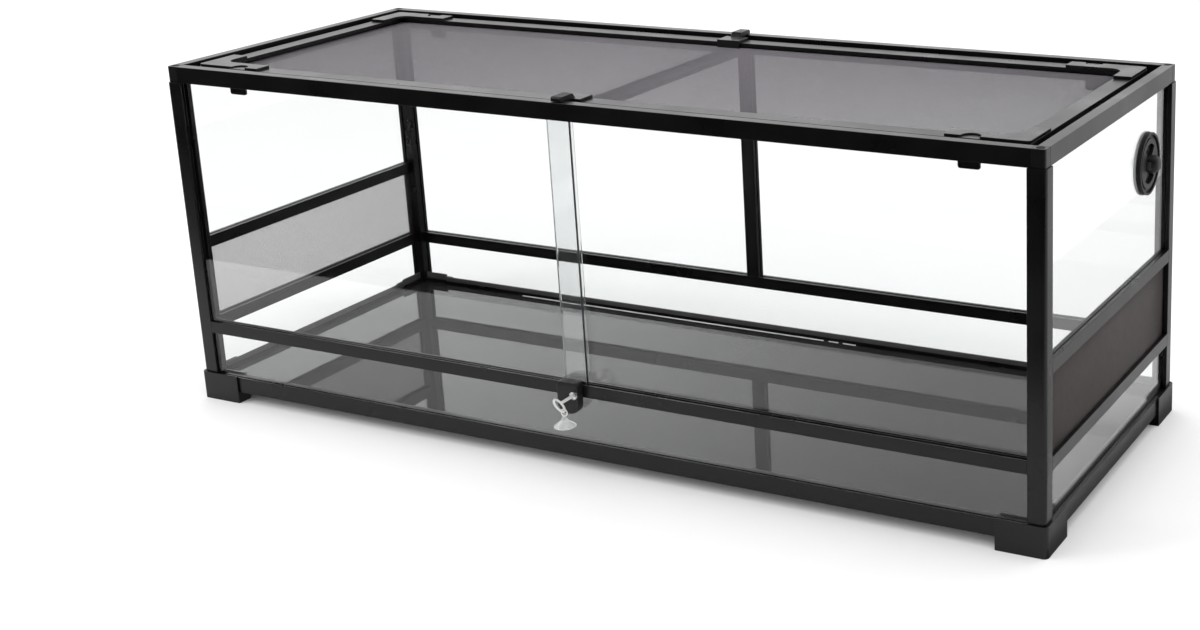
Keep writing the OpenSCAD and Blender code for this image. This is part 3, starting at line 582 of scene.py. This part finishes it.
# %% [markdown]
# ## Solids from rings
#
# Turned and extruded parts have one thing in common: they are a row of closed rings. A
# turned part's rings are circles whose size follows a half profile. An extruded part's are
# two copies of its section. So one function joins any row of rings and closes both ends,
# and the parts below differ only in how their rings are worked out.

# %% Rings, revolved profiles and carried sections
def angles(count):
    """count even steps once round a circle, in radians."""
    return np.arange(count) * 2 * np.pi / count


def lofted(rings):
    """Joins a (stations, points round, 3) array of rings with quads and closes both ends."""
    n = rings.shape[1]
    index = np.arange(rings.shape[0] * n).reshape(-1, n)
    side = np.roll(index, -1, axis=1)
    quads = np.stack([index[:-1], side[:-1], side[1:], index[1:]], -1).reshape(-1, 4)
    return rings.reshape(-1, 3), quads.tolist() + [index[0].tolist(), index[-1].tolist()]


def revolve(profile, centre):
    """Points (r cos a, r sin a, z) for each profile point (r, z) and each angle a, closed round.

    The first and last rings are tiny, and one face closes each of them.
    """
    angle = angles(48)
    r, z = profile[:, :1], profile[:, 1:]
    return lofted(np.stack([r * np.cos(angle), r * np.sin(angle), z + 0 * angle], -1) + centre)


def carried(section, start, end, up, side):
    """A closed section, given as (side, up) pairs, copied to both ends of a straight path."""
    start, end, up, side = (np.asarray(a, float) for a in (start, end, up, side))
    ring = section[:, :1] * side + section[:, 1:] * up
    return lofted(np.stack([start + ring, end + ring]))


def joined(*shapes):
    """Several (points, faces) shapes as one, each one's face numbers moved past the last one's."""
    points, faces, past = [], [], 0
    for more_points, more_faces in shapes:
        points.append(more_points)
        faces += [[i + past for i in face] for face in more_faces]
        past += len(more_points)
    return np.vstack(points), faces


print("48 even steps of", round(math.degrees(angles(48)[1]), 1), "degrees")

# %% [markdown]
# ## Rounded outlines and hoops
#
# Mouldings and stampings are rarely true circles or boxes: they are something between. A
# superellipse is a curve with a power: at 2 it is an ellipse, and it grows boxier as the
# power rises. Its coordinates are a cosine and a sine bent by that power. The eye of the
# suction cup and the bow of the key are hoops: closed rings with such a section.

# %% Superellipse and hoop
def rounded(wave, power):
    """A sine or cosine as a superellipse's coordinate: its sign times |wave| ** (2 / power)."""
    return np.sign(wave) * np.abs(wave) ** (2 / power)


SOFT = 3  # the power of a hoop's section


def hoop(centre, first, second, half, width, thick, turns=48, around=12):
    """A closed ring: an ellipse centre + half (first cos t, second sin t) with a rounded section.

    The section is width across the ring in its own plane and thick along the ring's axis.
    """
    first, second = np.asarray(first, float), np.asarray(second, float)
    t, a = angles(turns)[:, None], angles(around)[None, :, None]
    path = centre + half[0] * np.cos(t) * first + half[1] * np.sin(t) * second
    outward = half[1] * np.cos(t) * first + half[0] * np.sin(t) * second
    outward /= np.linalg.norm(outward, axis=1, keepdims=True)
    grid = (path[:, None] + outward[:, None] * width / 2 * rounded(np.cos(a), SOFT)
            + np.cross(first, second) * thick / 2 * rounded(np.sin(a), SOFT))
    index = np.arange(turns * around).reshape(turns, around)
    down, side = np.roll(index, -1, axis=0), np.roll(index, -1, axis=1)
    both = np.roll(down, -1, axis=1)
    return grid.reshape(-1, 3), np.stack([index, side, both, down], -1).reshape(-1, 4).tolist()


print("at 45 degrees a power of 3 reaches", round(float(rounded(math.sqrt(0.5), 3)), 3))

# %% [markdown]
# ## The suction cup
#
# A suction cup is a body of revolution: a half profile swept round an upright axis. The
# outside runs from the nub down over the waist to the rim, and the inside comes back up
# under the dome, so the cup is hollow below, as a working cup has to be.

# %% A revolved cup
CUP_DROP, EYE_RISE = 3.4 * MM, 0.4 * MM
EYE_HALF, EYE_WIDTH, EYE_THICK = (2.3 * MM, 2.1 * MM), 1.7 * MM, 2.2 * MM


def smooth_through(points, count):
    """Resamples a polyline by a Catmull-Rom curve: a cubic through each inner pair of points."""
    p = np.asarray(points, float)
    p = np.vstack([2 * p[0] - p[1], p, 2 * p[-1] - p[-2]])
    t = np.linspace(0, len(p) - 3 - 1e-9, count)
    k, f = t.astype(int), (t % 1)[:, None]
    a, b, c, d = p[k], p[k + 1], p[k + 2], p[k + 3]
    return 0.5 * (2 * b + (c - a) * f + (2 * a - 5 * b + 4 * c - d) * f ** 2
                  + (3 * b - a - 3 * c + d) * f ** 3)


cup_low, cup_high = corners("suction_cup")
cup_centre = np.array([*(cup_low + cup_high)[:2] / 2, cup_high[2] - CUP_DROP])
outer = [(0.02, -1.5), (1.9, -1.6), (2.9, -2.3), (3.7, -3.6), (4.3, -4.9), (6.2, -6.6),
         (9.6, -9.3), (12.4, -11.4), (13.4, -12.4)]
inner = [(13.2, -13.0), (12.0, -12.3), (9.1, -10.2), (5.6, -7.5), (3.0, -5.8), (0.02, -5.2)]
cup_shell = revolve(smooth_through(outer + inner, 60) * MM, cup_centre)
cup_eye = hoop(cup_centre + (0, 0, EYE_RISE), (0, 1, 0), (0, 0, 1), EYE_HALF, EYE_WIDTH,
               EYE_THICK, turns=32)
cup_points, cup_faces = joined(cup_shell, cup_eye)
piece("suction_cup_shell", cup_points, cup_faces, VINYL_PAINTED_HIGHLIGHT, "hanger",
      smooth_angle=60, replaced=["suction_cup"])
print("cup:", len(cup_faces), "faces")

# %% [markdown]
# ## The lock's case
#
# The case is a small moulding on the foot of the left door: straight sides, a flat top and
# a rounded foot. Its outline is a superellipse with a high power above the waist and a low
# one below. Copies of that outline, carried forward and drawn in a little at the end, give
# the case its rounded front edge. A lip along its top reaches back to the door.

# %% The case
case_low, case_high = corners("lock_housing")
CASE_FRONT, CASE_BACK = case_low[1] + 6.5 * MM, case_high[1] - 3.6 * MM
CASE_MIDDLE, CASE_HALF, CASE_WAIST, CASE_FOOT = -2.8 * MM, 15.1 * MM, 89 * MM, 75.5 * MM
ABOVE_WAIST, BELOW_WAIST = 14, 2.3  # the outline's powers
EDGE_ROUND, FACE_INSET = 1.5 * MM, 4 * MM

turn = angles(96)
above = np.sin(turn) > 0
power = np.where(above, ABOVE_WAIST, BELOW_WAIST)
outline_x = rounded(np.cos(turn), power)
outline_z = rounded(np.sin(turn), power) * np.where(above, case_high[2] - CASE_WAIST,
                                                    CASE_WAIST - CASE_FOOT)
bend = np.linspace(0, np.pi / 2, 6)
drawn = np.concatenate([[0], EDGE_ROUND * (1 - np.cos(bend)), [FACE_INSET]])[:, None]
depth = np.concatenate([[CASE_BACK], CASE_FRONT + EDGE_ROUND * (1 - np.sin(bend)), [CASE_FRONT]])
case_rings = np.stack([CASE_MIDDLE + outline_x * (CASE_HALF - drawn),
                       np.broadcast_to(depth[:, None], (len(depth), len(turn))),
                       CASE_WAIST + outline_z * (1 - drawn / CASE_HALF)], -1)

lip_section = np.array([(0, 0), (3.8, 0), (3.8, 3.9), (0, 3.9)]) * MM
lip_place = (CASE_BACK - 0.2 * MM, case_high[2] - 4 * MM)
lip = carried(lip_section, (CASE_MIDDLE - CASE_HALF, *lip_place),
              (CASE_MIDDLE + CASE_HALF, *lip_place), (0, 0, 1), (0, 1, 0))
case_points, case_faces = joined(lofted(case_rings), lip)
piece("lock_case", case_points, case_faces, LOCK_ABS, "door_left",
      replaced=["lock_housing"])
print("lock case", (case_points.max(0) - case_points.min(0)).round(4))

# %% [markdown]
# ## Plug and cam
#
# The plug is turned from bar, so it is revolved, with the groove and the raised rim that
# the tool leaves on its face. The cam that it turns is a flat tongue behind the door,
# stamped from sheet: one end is round the plug and the other, narrower, end hangs down.

# %% Plug and cam
LOCK_AXIS = np.array([7 * MM, CASE_FRONT, 101 * MM])
CAM_FROM, CAM_TO = (0, 6 * MM, 0), (0, 8 * MM, 0)
CAM_ROUND, CAM_TIP, CAM_REACH = 5.5, 3.5, 5

plug = np.array([(0.05, -1.9), (3.7, -1.9), (3.9, -1.2), (4.5, -1.2), (4.7, -2.1), (5.2, -1.9),
                 (5.4, -1.2), (5.4, 0.4), (4.2, 0.6), (4.2, 8.5), (0.05, 8.5)]) * MM
plug_points, plug_faces = revolve(plug, 0)
turn = angles(32)
below = np.sin(turn) < 0
radius = np.where(below, CAM_TIP, CAM_ROUND)
tongue = np.stack([np.cos(turn) * radius, np.sin(turn) * radius - CAM_REACH * below], 1) * MM
cam_shape = carried(tongue, LOCK_AXIS + CAM_FROM, LOCK_AXIS + CAM_TO, (0, 0, 1), (1, 0, 0))
barrel_points, barrel_faces = joined((plug_points[:, (0, 2, 1)] + LOCK_AXIS, plug_faces),
                                     cam_shape)
piece("lock_barrel", barrel_points, barrel_faces, CHROME, "key_set",
      smooth_angle=30, replaced=["lock_plug", "lock_cam"])
print("lock barrel:", len(barrel_faces), "faces")

# %% [markdown]
# ## The key
#
# The key is stamped from flat steel: an oval bow, a thin neck, a shoulder that stops it
# against the plug, and a blade. It sits in a plane turned 45 degrees about the lock's axis.
# The bow is a hoop; the rest is one rounded section whose width changes along the key.

# %% Bow, neck and blade
BOW_DEEP, BOW_ASIDE = 11 * MM, 1.5 * MM
BOW_HALF, BOW_WIDTH, BOW_THICK = (9.0 * MM, 5.2 * MM), 2.8 * MM, 2.0 * MM
BOW_OVERLAP, STEM_HALF, STAMPED = 4.4 * MM, 0.9 * MM, 6

lean = np.array([1, 0, -1]) / np.sqrt(2)
outwards = np.array([0, -1, 0])
bow_y = corners("key")[0][1] + BOW_DEEP
bow_centre = np.array([LOCK_AXIS[0], bow_y, LOCK_AXIS[2]]) + BOW_ASIDE * lean
bow = hoop(bow_centre, lean, outwards, BOW_HALF, BOW_WIDTH, BOW_THICK)

# Each pair is a distance out from the plug's face and half the width there, in millimetres:
# two for the blade and its shoulder, two for the neck and one for the foot of the bow.
reach = (bow_centre @ outwards - LOCK_AXIS @ outwards - BOW_OVERLAP) / MM
along, half_width = np.array([(-4, 2.4), (4.5, 2.4), (6.5, 1.9),
                              (reach - 3, 1.8), (reach, 3.4)]).T * MM
turn = angles(20)
stem = (LOCK_AXIS + along[:, None, None] * outwards
        + half_width[:, None, None] * rounded(np.cos(turn), STAMPED)[:, None] * lean
        + STEM_HALF * rounded(np.sin(turn), STAMPED)[:, None] * np.cross(lean, outwards))
key_points, key_faces = joined(bow, lofted(stem))
piece("stamped_key", key_points, key_faces, NICKEL_PAINTED_REFLECTION, "key_set",
      smooth_angle=35, replaced=["key"])
print("key reaches y =", round(key_points[:, 1].min(), 4))

# %% [markdown]
# ## The vent
#
# The vent is a round moulding screwed through a hole in the side wall, with a shutter that
# turns behind a chunky thumb grip, and a ring that clamps it from the inside, coloured pale
# grey as painted reflection. The mouldings are copies of the frame's, drawn in a little
# towards their axis. What stands up from the shutter's disc is squeezed down so that it
# hides inside the new grip.

# %% Drawn-in mouldings
DRAW_IN, GRIP_HIGH, SQUEEZE = 0.905, 13 * MM, 0.5
vent_low, vent_high = corners("vent_flange")
vent_axis = (vent_low + vent_high) / 2
grip_foot = corners("vent_shutter")[1][0] - GRIP_HIGH


def drawn_in(points):
    """Scales every point's distance from the vent's axis by 0.905; its depth stays."""
    return vent_axis + (points - vent_axis) * (1, DRAW_IN, DRAW_IN)


def shutter_shape(points):
    """The same, and the height above the shutter's disc is halved to hide in the grip."""
    points = drawn_in(points)
    points[:, 0] -= SQUEEZE * np.clip(points[:, 0] - grip_foot, 0, None)
    return points


softened("vent_flange", VENT_ABS, 0.5, drawn_in)
softened("vent_grille", VENT_ABS, 0.2, drawn_in)
softened("vent_shutter", VENT_ABS, 0.4, shutter_shape)
# The clamp ring's pale grey is painted reflection of the vent in the glass.
softened("vent_clamp_ring", PALE_ABS_PAINTED_REFLECTION, 0.5, drawn_in)
print("vent axis at", vent_axis.round(4))

# %% [markdown]
# ## The thumb grip
#
# The grip is half a superellipsoid, a ball that has been made boxier, so it has soft corners
# and a gently domed end, as a moulding made to be turned by a thumb has. Its rings climb
# from the disc: their height goes with a rounded sine and their width with a rounded cosine.

# %% The thumb grip
GRIP_SUNK, GRIP_RISE = 0.5 * MM, 13.4 * MM
GRIP_HALF_Y, GRIP_HALF_Z = 11.5 * MM, 10.5 * MM
DOMED, BOXY = 3.2, 2.6
LAST_RING = 0.02  # the last ring would be one point, so it gets a fiftieth of the one before

rise = np.linspace(0, np.pi / 2, 12)[:, None]
spin = angles(40)
wide = rounded(np.cos(rise), DOMED)
grip_rings = np.stack([
    grip_foot - GRIP_SUNK + GRIP_RISE * rounded(np.sin(rise), DOMED) + 0 * spin,
    vent_axis[1] + GRIP_HALF_Y * wide * rounded(np.cos(spin), BOXY),
    vent_axis[2] + GRIP_HALF_Z * wide * rounded(np.sin(spin), BOXY)], -1)
grip_rings[-1, :, 1:] += (grip_rings[-2, :, 1:] - vent_axis[1:]) * LAST_RING
grip_points, grip_faces = lofted(grip_rings)
piece("vent_grip", grip_points, grip_faces, VENT_ABS, "vent_shutter")
print("vent grip:", len(grip_faces), "faces")

# %% [markdown]
# ## Sealant and the door seal
#
# A thin bead of clear silicone runs along part of the back wall's foot, where the base
# meets it, and ends in two short dabs. Its runs follow a glint there, and its pale white is
# painted highlight that draws that glint. It is a small section, a quarter round with a
# hollow face, carried along a straight path. The right door carries a clear extruded strip
# on its back, beside the gap between the doors, which keeps small insects in. It is another
# section carried along a path, this time up.

# %% The bead and the seal
# The bead's runs follow where a glint shows at the back wall's foot; its pale line is painted
# highlight.
GLINT_BEAD_RUNS = ((-0.4, 0.112), (0.12, 0.135), (0.142, 0.162))
BEAD_SUNK, SEAL_GAP = 0.5 * MM, 0.2 * MM
SEAL_ABOVE_FOOT, SEAL_BELOW_TOP = 6 * MM, 7 * MM
FLAT_FACES = 3  # degrees: nothing on the seal shades round, or its bevels would bend the view

base_high = corners("base_pane")[1]
bead_place = (base_high[1] - BEAD_SUNK, base_high[2])
bead = np.array([(0, 0), (-0.9, 0), (-0.55, 0.2), (-0.3, 0.45), (-0.15, 0.8), (0, 1.2)]) * MM
runs = [carried(bead, (start, *bead_place), (end, *bead_place), (0, 0, 1), (0, 1, 0))
        for start, end in GLINT_BEAD_RUNS]
bead_points, bead_faces = joined(*runs)
piece("back_sealant_bead_painted_glint", bead_points, bead_faces, SILICONE_PAINTED_GLINT, "tank")
print("bead faces:", len(bead_faces))

door_low, door_high = corners("door_right")
seal = np.array([(0, 0), (34, 0), (34, 0.5), (33.2, 0.6), (0.8, 0.6), (0, 0.5)]) * MM
seal_place = (door_low[0], door_high[1] + SEAL_GAP)
seal_foot, seal_head = door_low[2] + SEAL_ABOVE_FOOT, door_high[2] - SEAL_BELOW_TOP
seal_points, seal_faces = carried(seal, (*seal_place, seal_foot), (*seal_place, seal_head),
                                  (0, 1, 0), (1, 0, 0))
piece("door_seal_strip", seal_points, seal_faces, PVC, "door_right",
      smooth_angle=FLAT_FACES)
print("seal strip", round((seal_head - seal_foot) / MM), "mm high")

# %% [markdown]
# ## The glazing strip
#
# Inside the bottom rails, a strip of dark PVC stands on the inner lip of the glass groove
# at the back and at both ends. It presses on the foot of each low pane and hides the
# glass's edge, and each corner has a taller tab. Soft PVC comes out of its die greyer and
# duller than the rails and takes no sharp glints, so the eye parts the two. Its faint
# bloom is drawn with the mouldings' grain, far coarser than it is. All of it is one
# flat-sided section with a rounded top, carried along straight paths.

# %% Strips on the inner lips
STRIP = moulded("extruded_dark_pvc", "#444242", "#525050", 0.5, 0.7)
STRIP_HALF, RIM_HEIGHT, TAB_HEIGHT = 1.3, 6.5, 10.5  # all three in millimetres
TAB_LENGTH_X, TAB_LENGTH_Y, SEAM = 37 * MM, 39 * MM, 0.1 * MM
RAIL_TO_LIP, POST_GAP = 13 * MM, 0.3 * MM


def strip_section(height):
    """Half-width w = 1.3 mm; above height - w the sides follow a half circle of radius w."""
    w = STRIP_HALF
    turn = np.linspace(0, np.pi, 7)
    top = np.stack([w * np.cos(turn), height - w + w * np.sin(turn)], 1)
    return np.vstack([[(-w, 0), (w, 0)], top]) * MM


rail_foot = corners("rail_bottom_back")[1][2]
lip_x = corners("rail_bottom_right")[1][0] - RAIL_TO_LIP
lip_y = corners("rail_bottom_back")[1][1] - RAIL_TO_LIP
end_x, end_y = corners("post_back_right")[0][:2] - POST_GAP
front_y = corners("post_front_right")[1][1] + POST_GAP
tab_x, tab_y = end_x - TAB_LENGTH_X, end_y - TAB_LENGTH_Y


def strip(height, start, end, side):
    """One run of the strip between two (x, y) points, standing on the rail's lip."""
    return carried(strip_section(height), (*start, rail_foot), (*end, rail_foot), (0, 0, 1), side)


strips = [strip(RIM_HEIGHT, (SEAM - tab_x, lip_y), (tab_x - SEAM, lip_y), (0, 1, 0))]
for way in (-1, 1):
    x = way * lip_x
    strips += [strip(TAB_HEIGHT, (way * tab_x, lip_y), (way * end_x, lip_y), (0, 1, 0)),
               strip(RIM_HEIGHT, (x, front_y), (x, tab_y - SEAM), (1, 0, 0)),
               strip(TAB_HEIGHT, (x, tab_y), (x, end_y), (1, 0, 0))]
strip_points, strip_faces = joined(*strips)
piece("glazing_strips", strip_points, strip_faces, STRIP, "tank")
print("glazing strips:", len(strips), "runs, top at z =", round(strip_points[:, 2].max(), 4))

# %% [markdown]
# ## The camera
#
# The camera stands in front of the tank's right corner, at twice its height, and looks down
# by about 16 degrees. Its lens is given by the focal length in pixels of an image 1200
# pixels wide. The lens is shifted, as in a view camera, which moves the tank within the
# image without turning the camera.

# %% Camera
IMAGE_WIDTH, FOCAL_PIXELS, SENSOR = 1200, 1832.312, 36
AZIMUTH, ELEVATION, ROLL = (math.radians(a) for a in (25.574, 15.784, -1.22))
FROM_MIDDLE = (1.248749, -1.913617, 0.928536)  # from the middle of the tank's footprint

middle_y = (corners("post_front_left")[0][1] + corners("post_back_left")[1][1]) / 2
back = np.array([math.sin(AZIMUTH) * math.cos(ELEVATION),
                 -math.cos(AZIMUTH) * math.cos(ELEVATION), math.sin(ELEVATION)])
level_right = np.array([math.cos(AZIMUTH), math.sin(AZIMUTH), 0])
level_up = np.cross(back, level_right)
right = level_right * math.cos(ROLL) + level_up * math.sin(ROLL)
up = level_up * math.cos(ROLL) - level_right * math.sin(ROLL)

lens = bpy.data.cameras.new("portrait_lens")
lens.sensor_width = SENSOR
lens.lens = FOCAL_PIXELS / IMAGE_WIDTH * lens.sensor_width
lens.shift_x, lens.shift_y = -0.25, -0.105
lens.clip_start, lens.clip_end = 0.05, 60
camera = bpy.data.objects.new("camera", lens)
spot = np.array(FROM_MIDDLE) + (0, middle_y, 0)
camera.matrix_world = Matrix([[*row, s] for row, s in zip(np.stack([right, up, back], 1), spot)]
                             + [[0, 0, 0, 1]])
bpy.context.scene.collection.objects.link(camera)
bpy.context.scene.camera = camera
print("lens", round(lens.lens, 1), "mm at", spot.round(3))

# %% [markdown]
# ## The floor
#
# The tank stands on a plain pale floor of matt white paint, rolled on. Matt paint scatters
# light all ways, so the eye gets soft even contact shadows and no reflection. The floor is
# laid in sheets. They all look the same, but each one leaves its own share of itself in
# what the tank's glossy faces mirror, so that black rails above a white floor stay black.

# %% Floor
FLOOR_CLOUD = 1.5  # cells per metre: rolled paint varies slowly


def floor_finish(name, share):
    """Matt white paint. After one glossy bounce only share of it is left; the rest is clear."""
    made, tree, shader, place = open_material(name)
    cloud = add(tree, "ShaderNodeTexNoise", {"Vector": place, "Scale": FLOOR_CLOUD, "Detail": 2.0})
    mottle(tree, shader, cloud.outputs["Fac"], "#f4f4f4", "#efefef")
    shader.inputs["Roughness"].default_value = 0.8
    shader.inputs["Specular IOR Level"].default_value = 0.2
    bounces = add(tree, "ShaderNodeLightPath").outputs["Glossy Depth"]
    lost = add(tree, "ShaderNodeMapRange", {"Value": bounces, "To Max": 1 - share})
    mixed = add(tree, "ShaderNodeMixShader",
                {0: lost.outputs[0], 1: shader.outputs[0],
                 2: add(tree, "ShaderNodeBsdfTransparent").outputs[0]})
    end = next(n for n in tree.nodes if n.type == "OUTPUT_MATERIAL")
    tree.links.new(mixed.outputs[0], end.inputs["Surface"])
    return made


def floor_sheet(name, low, high, share):
    """A flat sheet from corner low to corner high, both (x, y)."""
    mesh = bpy.data.meshes.new(name)
    mesh.from_pydata([(*low, 0), (high[0], low[1], 0), (*high, 0), (low[0], high[1], 0)], [],
                     [(0, 1, 2, 3)])
    mesh.materials.append(floor_finish("matt_white_paint_" + name, share))
    sheet = bpy.data.objects.new(name, mesh)
    bpy.context.scene.collection.objects.link(sheet)


FAR, FAR_FRONT, FRONT = 12, -0.65, -0.2  # the floor's reach, and edges along y
BESIDE, NEAR, RIGHT = 0.63, 0.7, 0.95  # edges along x, from the tank outwards
floor_sheet("floor_far_front", (-FAR, -FAR), (FAR, FAR_FRONT), 0.0)
floor_sheet("floor_front", (-FAR, FAR_FRONT), (FAR, FRONT), 0.88)
floor_sheet("floor_behind", (-FAR, FRONT), (BESIDE, FAR), 0.0)
floor_sheet("floor_right_near", (BESIDE, FRONT), (NEAR, FAR), 1.0)
floor_sheet("floor_right", (NEAR, FRONT), (RIGHT, FAR), 0.55)
floor_sheet("floor_right_far", (RIGHT, FRONT), (FAR, FAR), 0.85)

# %% [markdown]
# ## The room
#
# The room is bright behind, above and to the right, and dim in front, which is what makes a
# black frame readable: its top and right faces mirror the bright side at a low angle, and
# its front faces mirror the dim side and stay black. So for mirrored rays the world's
# brightness follows the direction a ray leaves in. Scattered rays, which light the floor
# and everything matt, get one even brightness, and so does what is seen directly: a plain
# white sweep.

# %% The world, by direction and by kind of ray
STRAIGHT, SCATTERED = 1.35, 1.3
world = bpy.data.worlds.new("studio")
bpy.context.scene.world = world
world.use_nodes = True
sky = world.node_tree
ray = add(sky, "ShaderNodeSeparateXYZ", {0: add(sky, "ShaderNodeTexCoord").outputs["Generated"]})

# For each ramp: the ray's component, where on it the ramp starts and ends, and its values there.
RAMPS = {
    "upper": ("Z", 0.2, 0.3, 0, 1),
    "wall": ("X", -0.35, -0.65, 1.9, 1.1),
    "ceiling": ("X", -0.35, -0.65, 0.7, 1.9),
    "behind": ("Y", -0.35, 0.15, 0.02, 1),
    "above_floor": ("Z", -0.15, 0.05, 0.1, 1),
}
ramps = {name: add(sky, "ShaderNodeMapRange",
                   {"Value": ray.outputs[axis], "From Min": start, "From Max": end,
                    "To Min": first, "To Max": last},
                   interpolation_type="SMOOTHSTEP").outputs[0]
         for name, (axis, start, end, first, last) in RAMPS.items()}
room = add(sky, "ShaderNodeMix", {0: ramps["upper"], 2: ramps["wall"], 3: ramps["ceiling"]},
           data_type="FLOAT")
dim_front = add(sky, "ShaderNodeMath", {0: room.outputs[0], 1: ramps["behind"]},
                operation="MULTIPLY")
mirrored = add(sky, "ShaderNodeMath", {0: dim_front.outputs[0], 1: ramps["above_floor"]},
               operation="MULTIPLY")

path = add(sky, "ShaderNodeLightPath")
is_scattered = add(sky, "ShaderNodeMath", {0: path.outputs["Diffuse Depth"], 1: 0.5},
                   operation="GREATER_THAN")
bounces = add(sky, "ShaderNodeMath", {0: path.outputs["Diffuse Depth"],
                                      1: path.outputs["Glossy Depth"]}, operation="ADD")
is_straight = add(sky, "ShaderNodeMath", {0: bounces.outputs[0], 1: 0.5}, operation="LESS_THAN")
bounced = add(sky, "ShaderNodeMix", {0: is_scattered.outputs[0], 2: mirrored.outputs[0],
                                     3: SCATTERED}, data_type="FLOAT")
strength = add(sky, "ShaderNodeMix", {0: is_straight.outputs[0], 2: bounced.outputs[0],
                                      3: STRAIGHT}, data_type="FLOAT")
light = next(n for n in sky.nodes if n.type == "BACKGROUND")
light.inputs["Color"].default_value = linear("#ffffff")
sky.links.new(strength.outputs[0], light.inputs["Strength"])
print("world nodes:", len(sky.nodes))

# %% [markdown]
# ## Two lamps
#
# A wide softbox overhead adds a little soft light from above. A small one in front and to
# the left lifts the lock and the door frames a little out of the dark.

# %% Softboxes
def softbox(name, place, aim, width, height, watts):
    """A rectangular lamp at place, turned so that its face looks at aim."""
    lamp = bpy.data.lights.new(name, "AREA")
    lamp.shape, lamp.size, lamp.size_y, lamp.energy = "RECTANGLE", width, height, watts
    held = bpy.data.objects.new(name, lamp)
    aimed = (Vector(place) - Vector(aim)).to_track_quat("Z", "Y")
    held.matrix_world = Matrix.Translation(place) @ aimed.to_matrix().to_4x4()
    bpy.context.scene.collection.objects.link(held)
    return held


softbox("overhead_softbox", (0.0, 0.4, 2.6), (0, 0.1, 0), 3.0, 2.0, 10)
softbox("front_fill_softbox", (-1.5, -1.6, 1.5), (0, -0.2, 0.1), 0.45, 0.45, 8)
bpy.context.scene.view_settings.view_transform = "Standard"
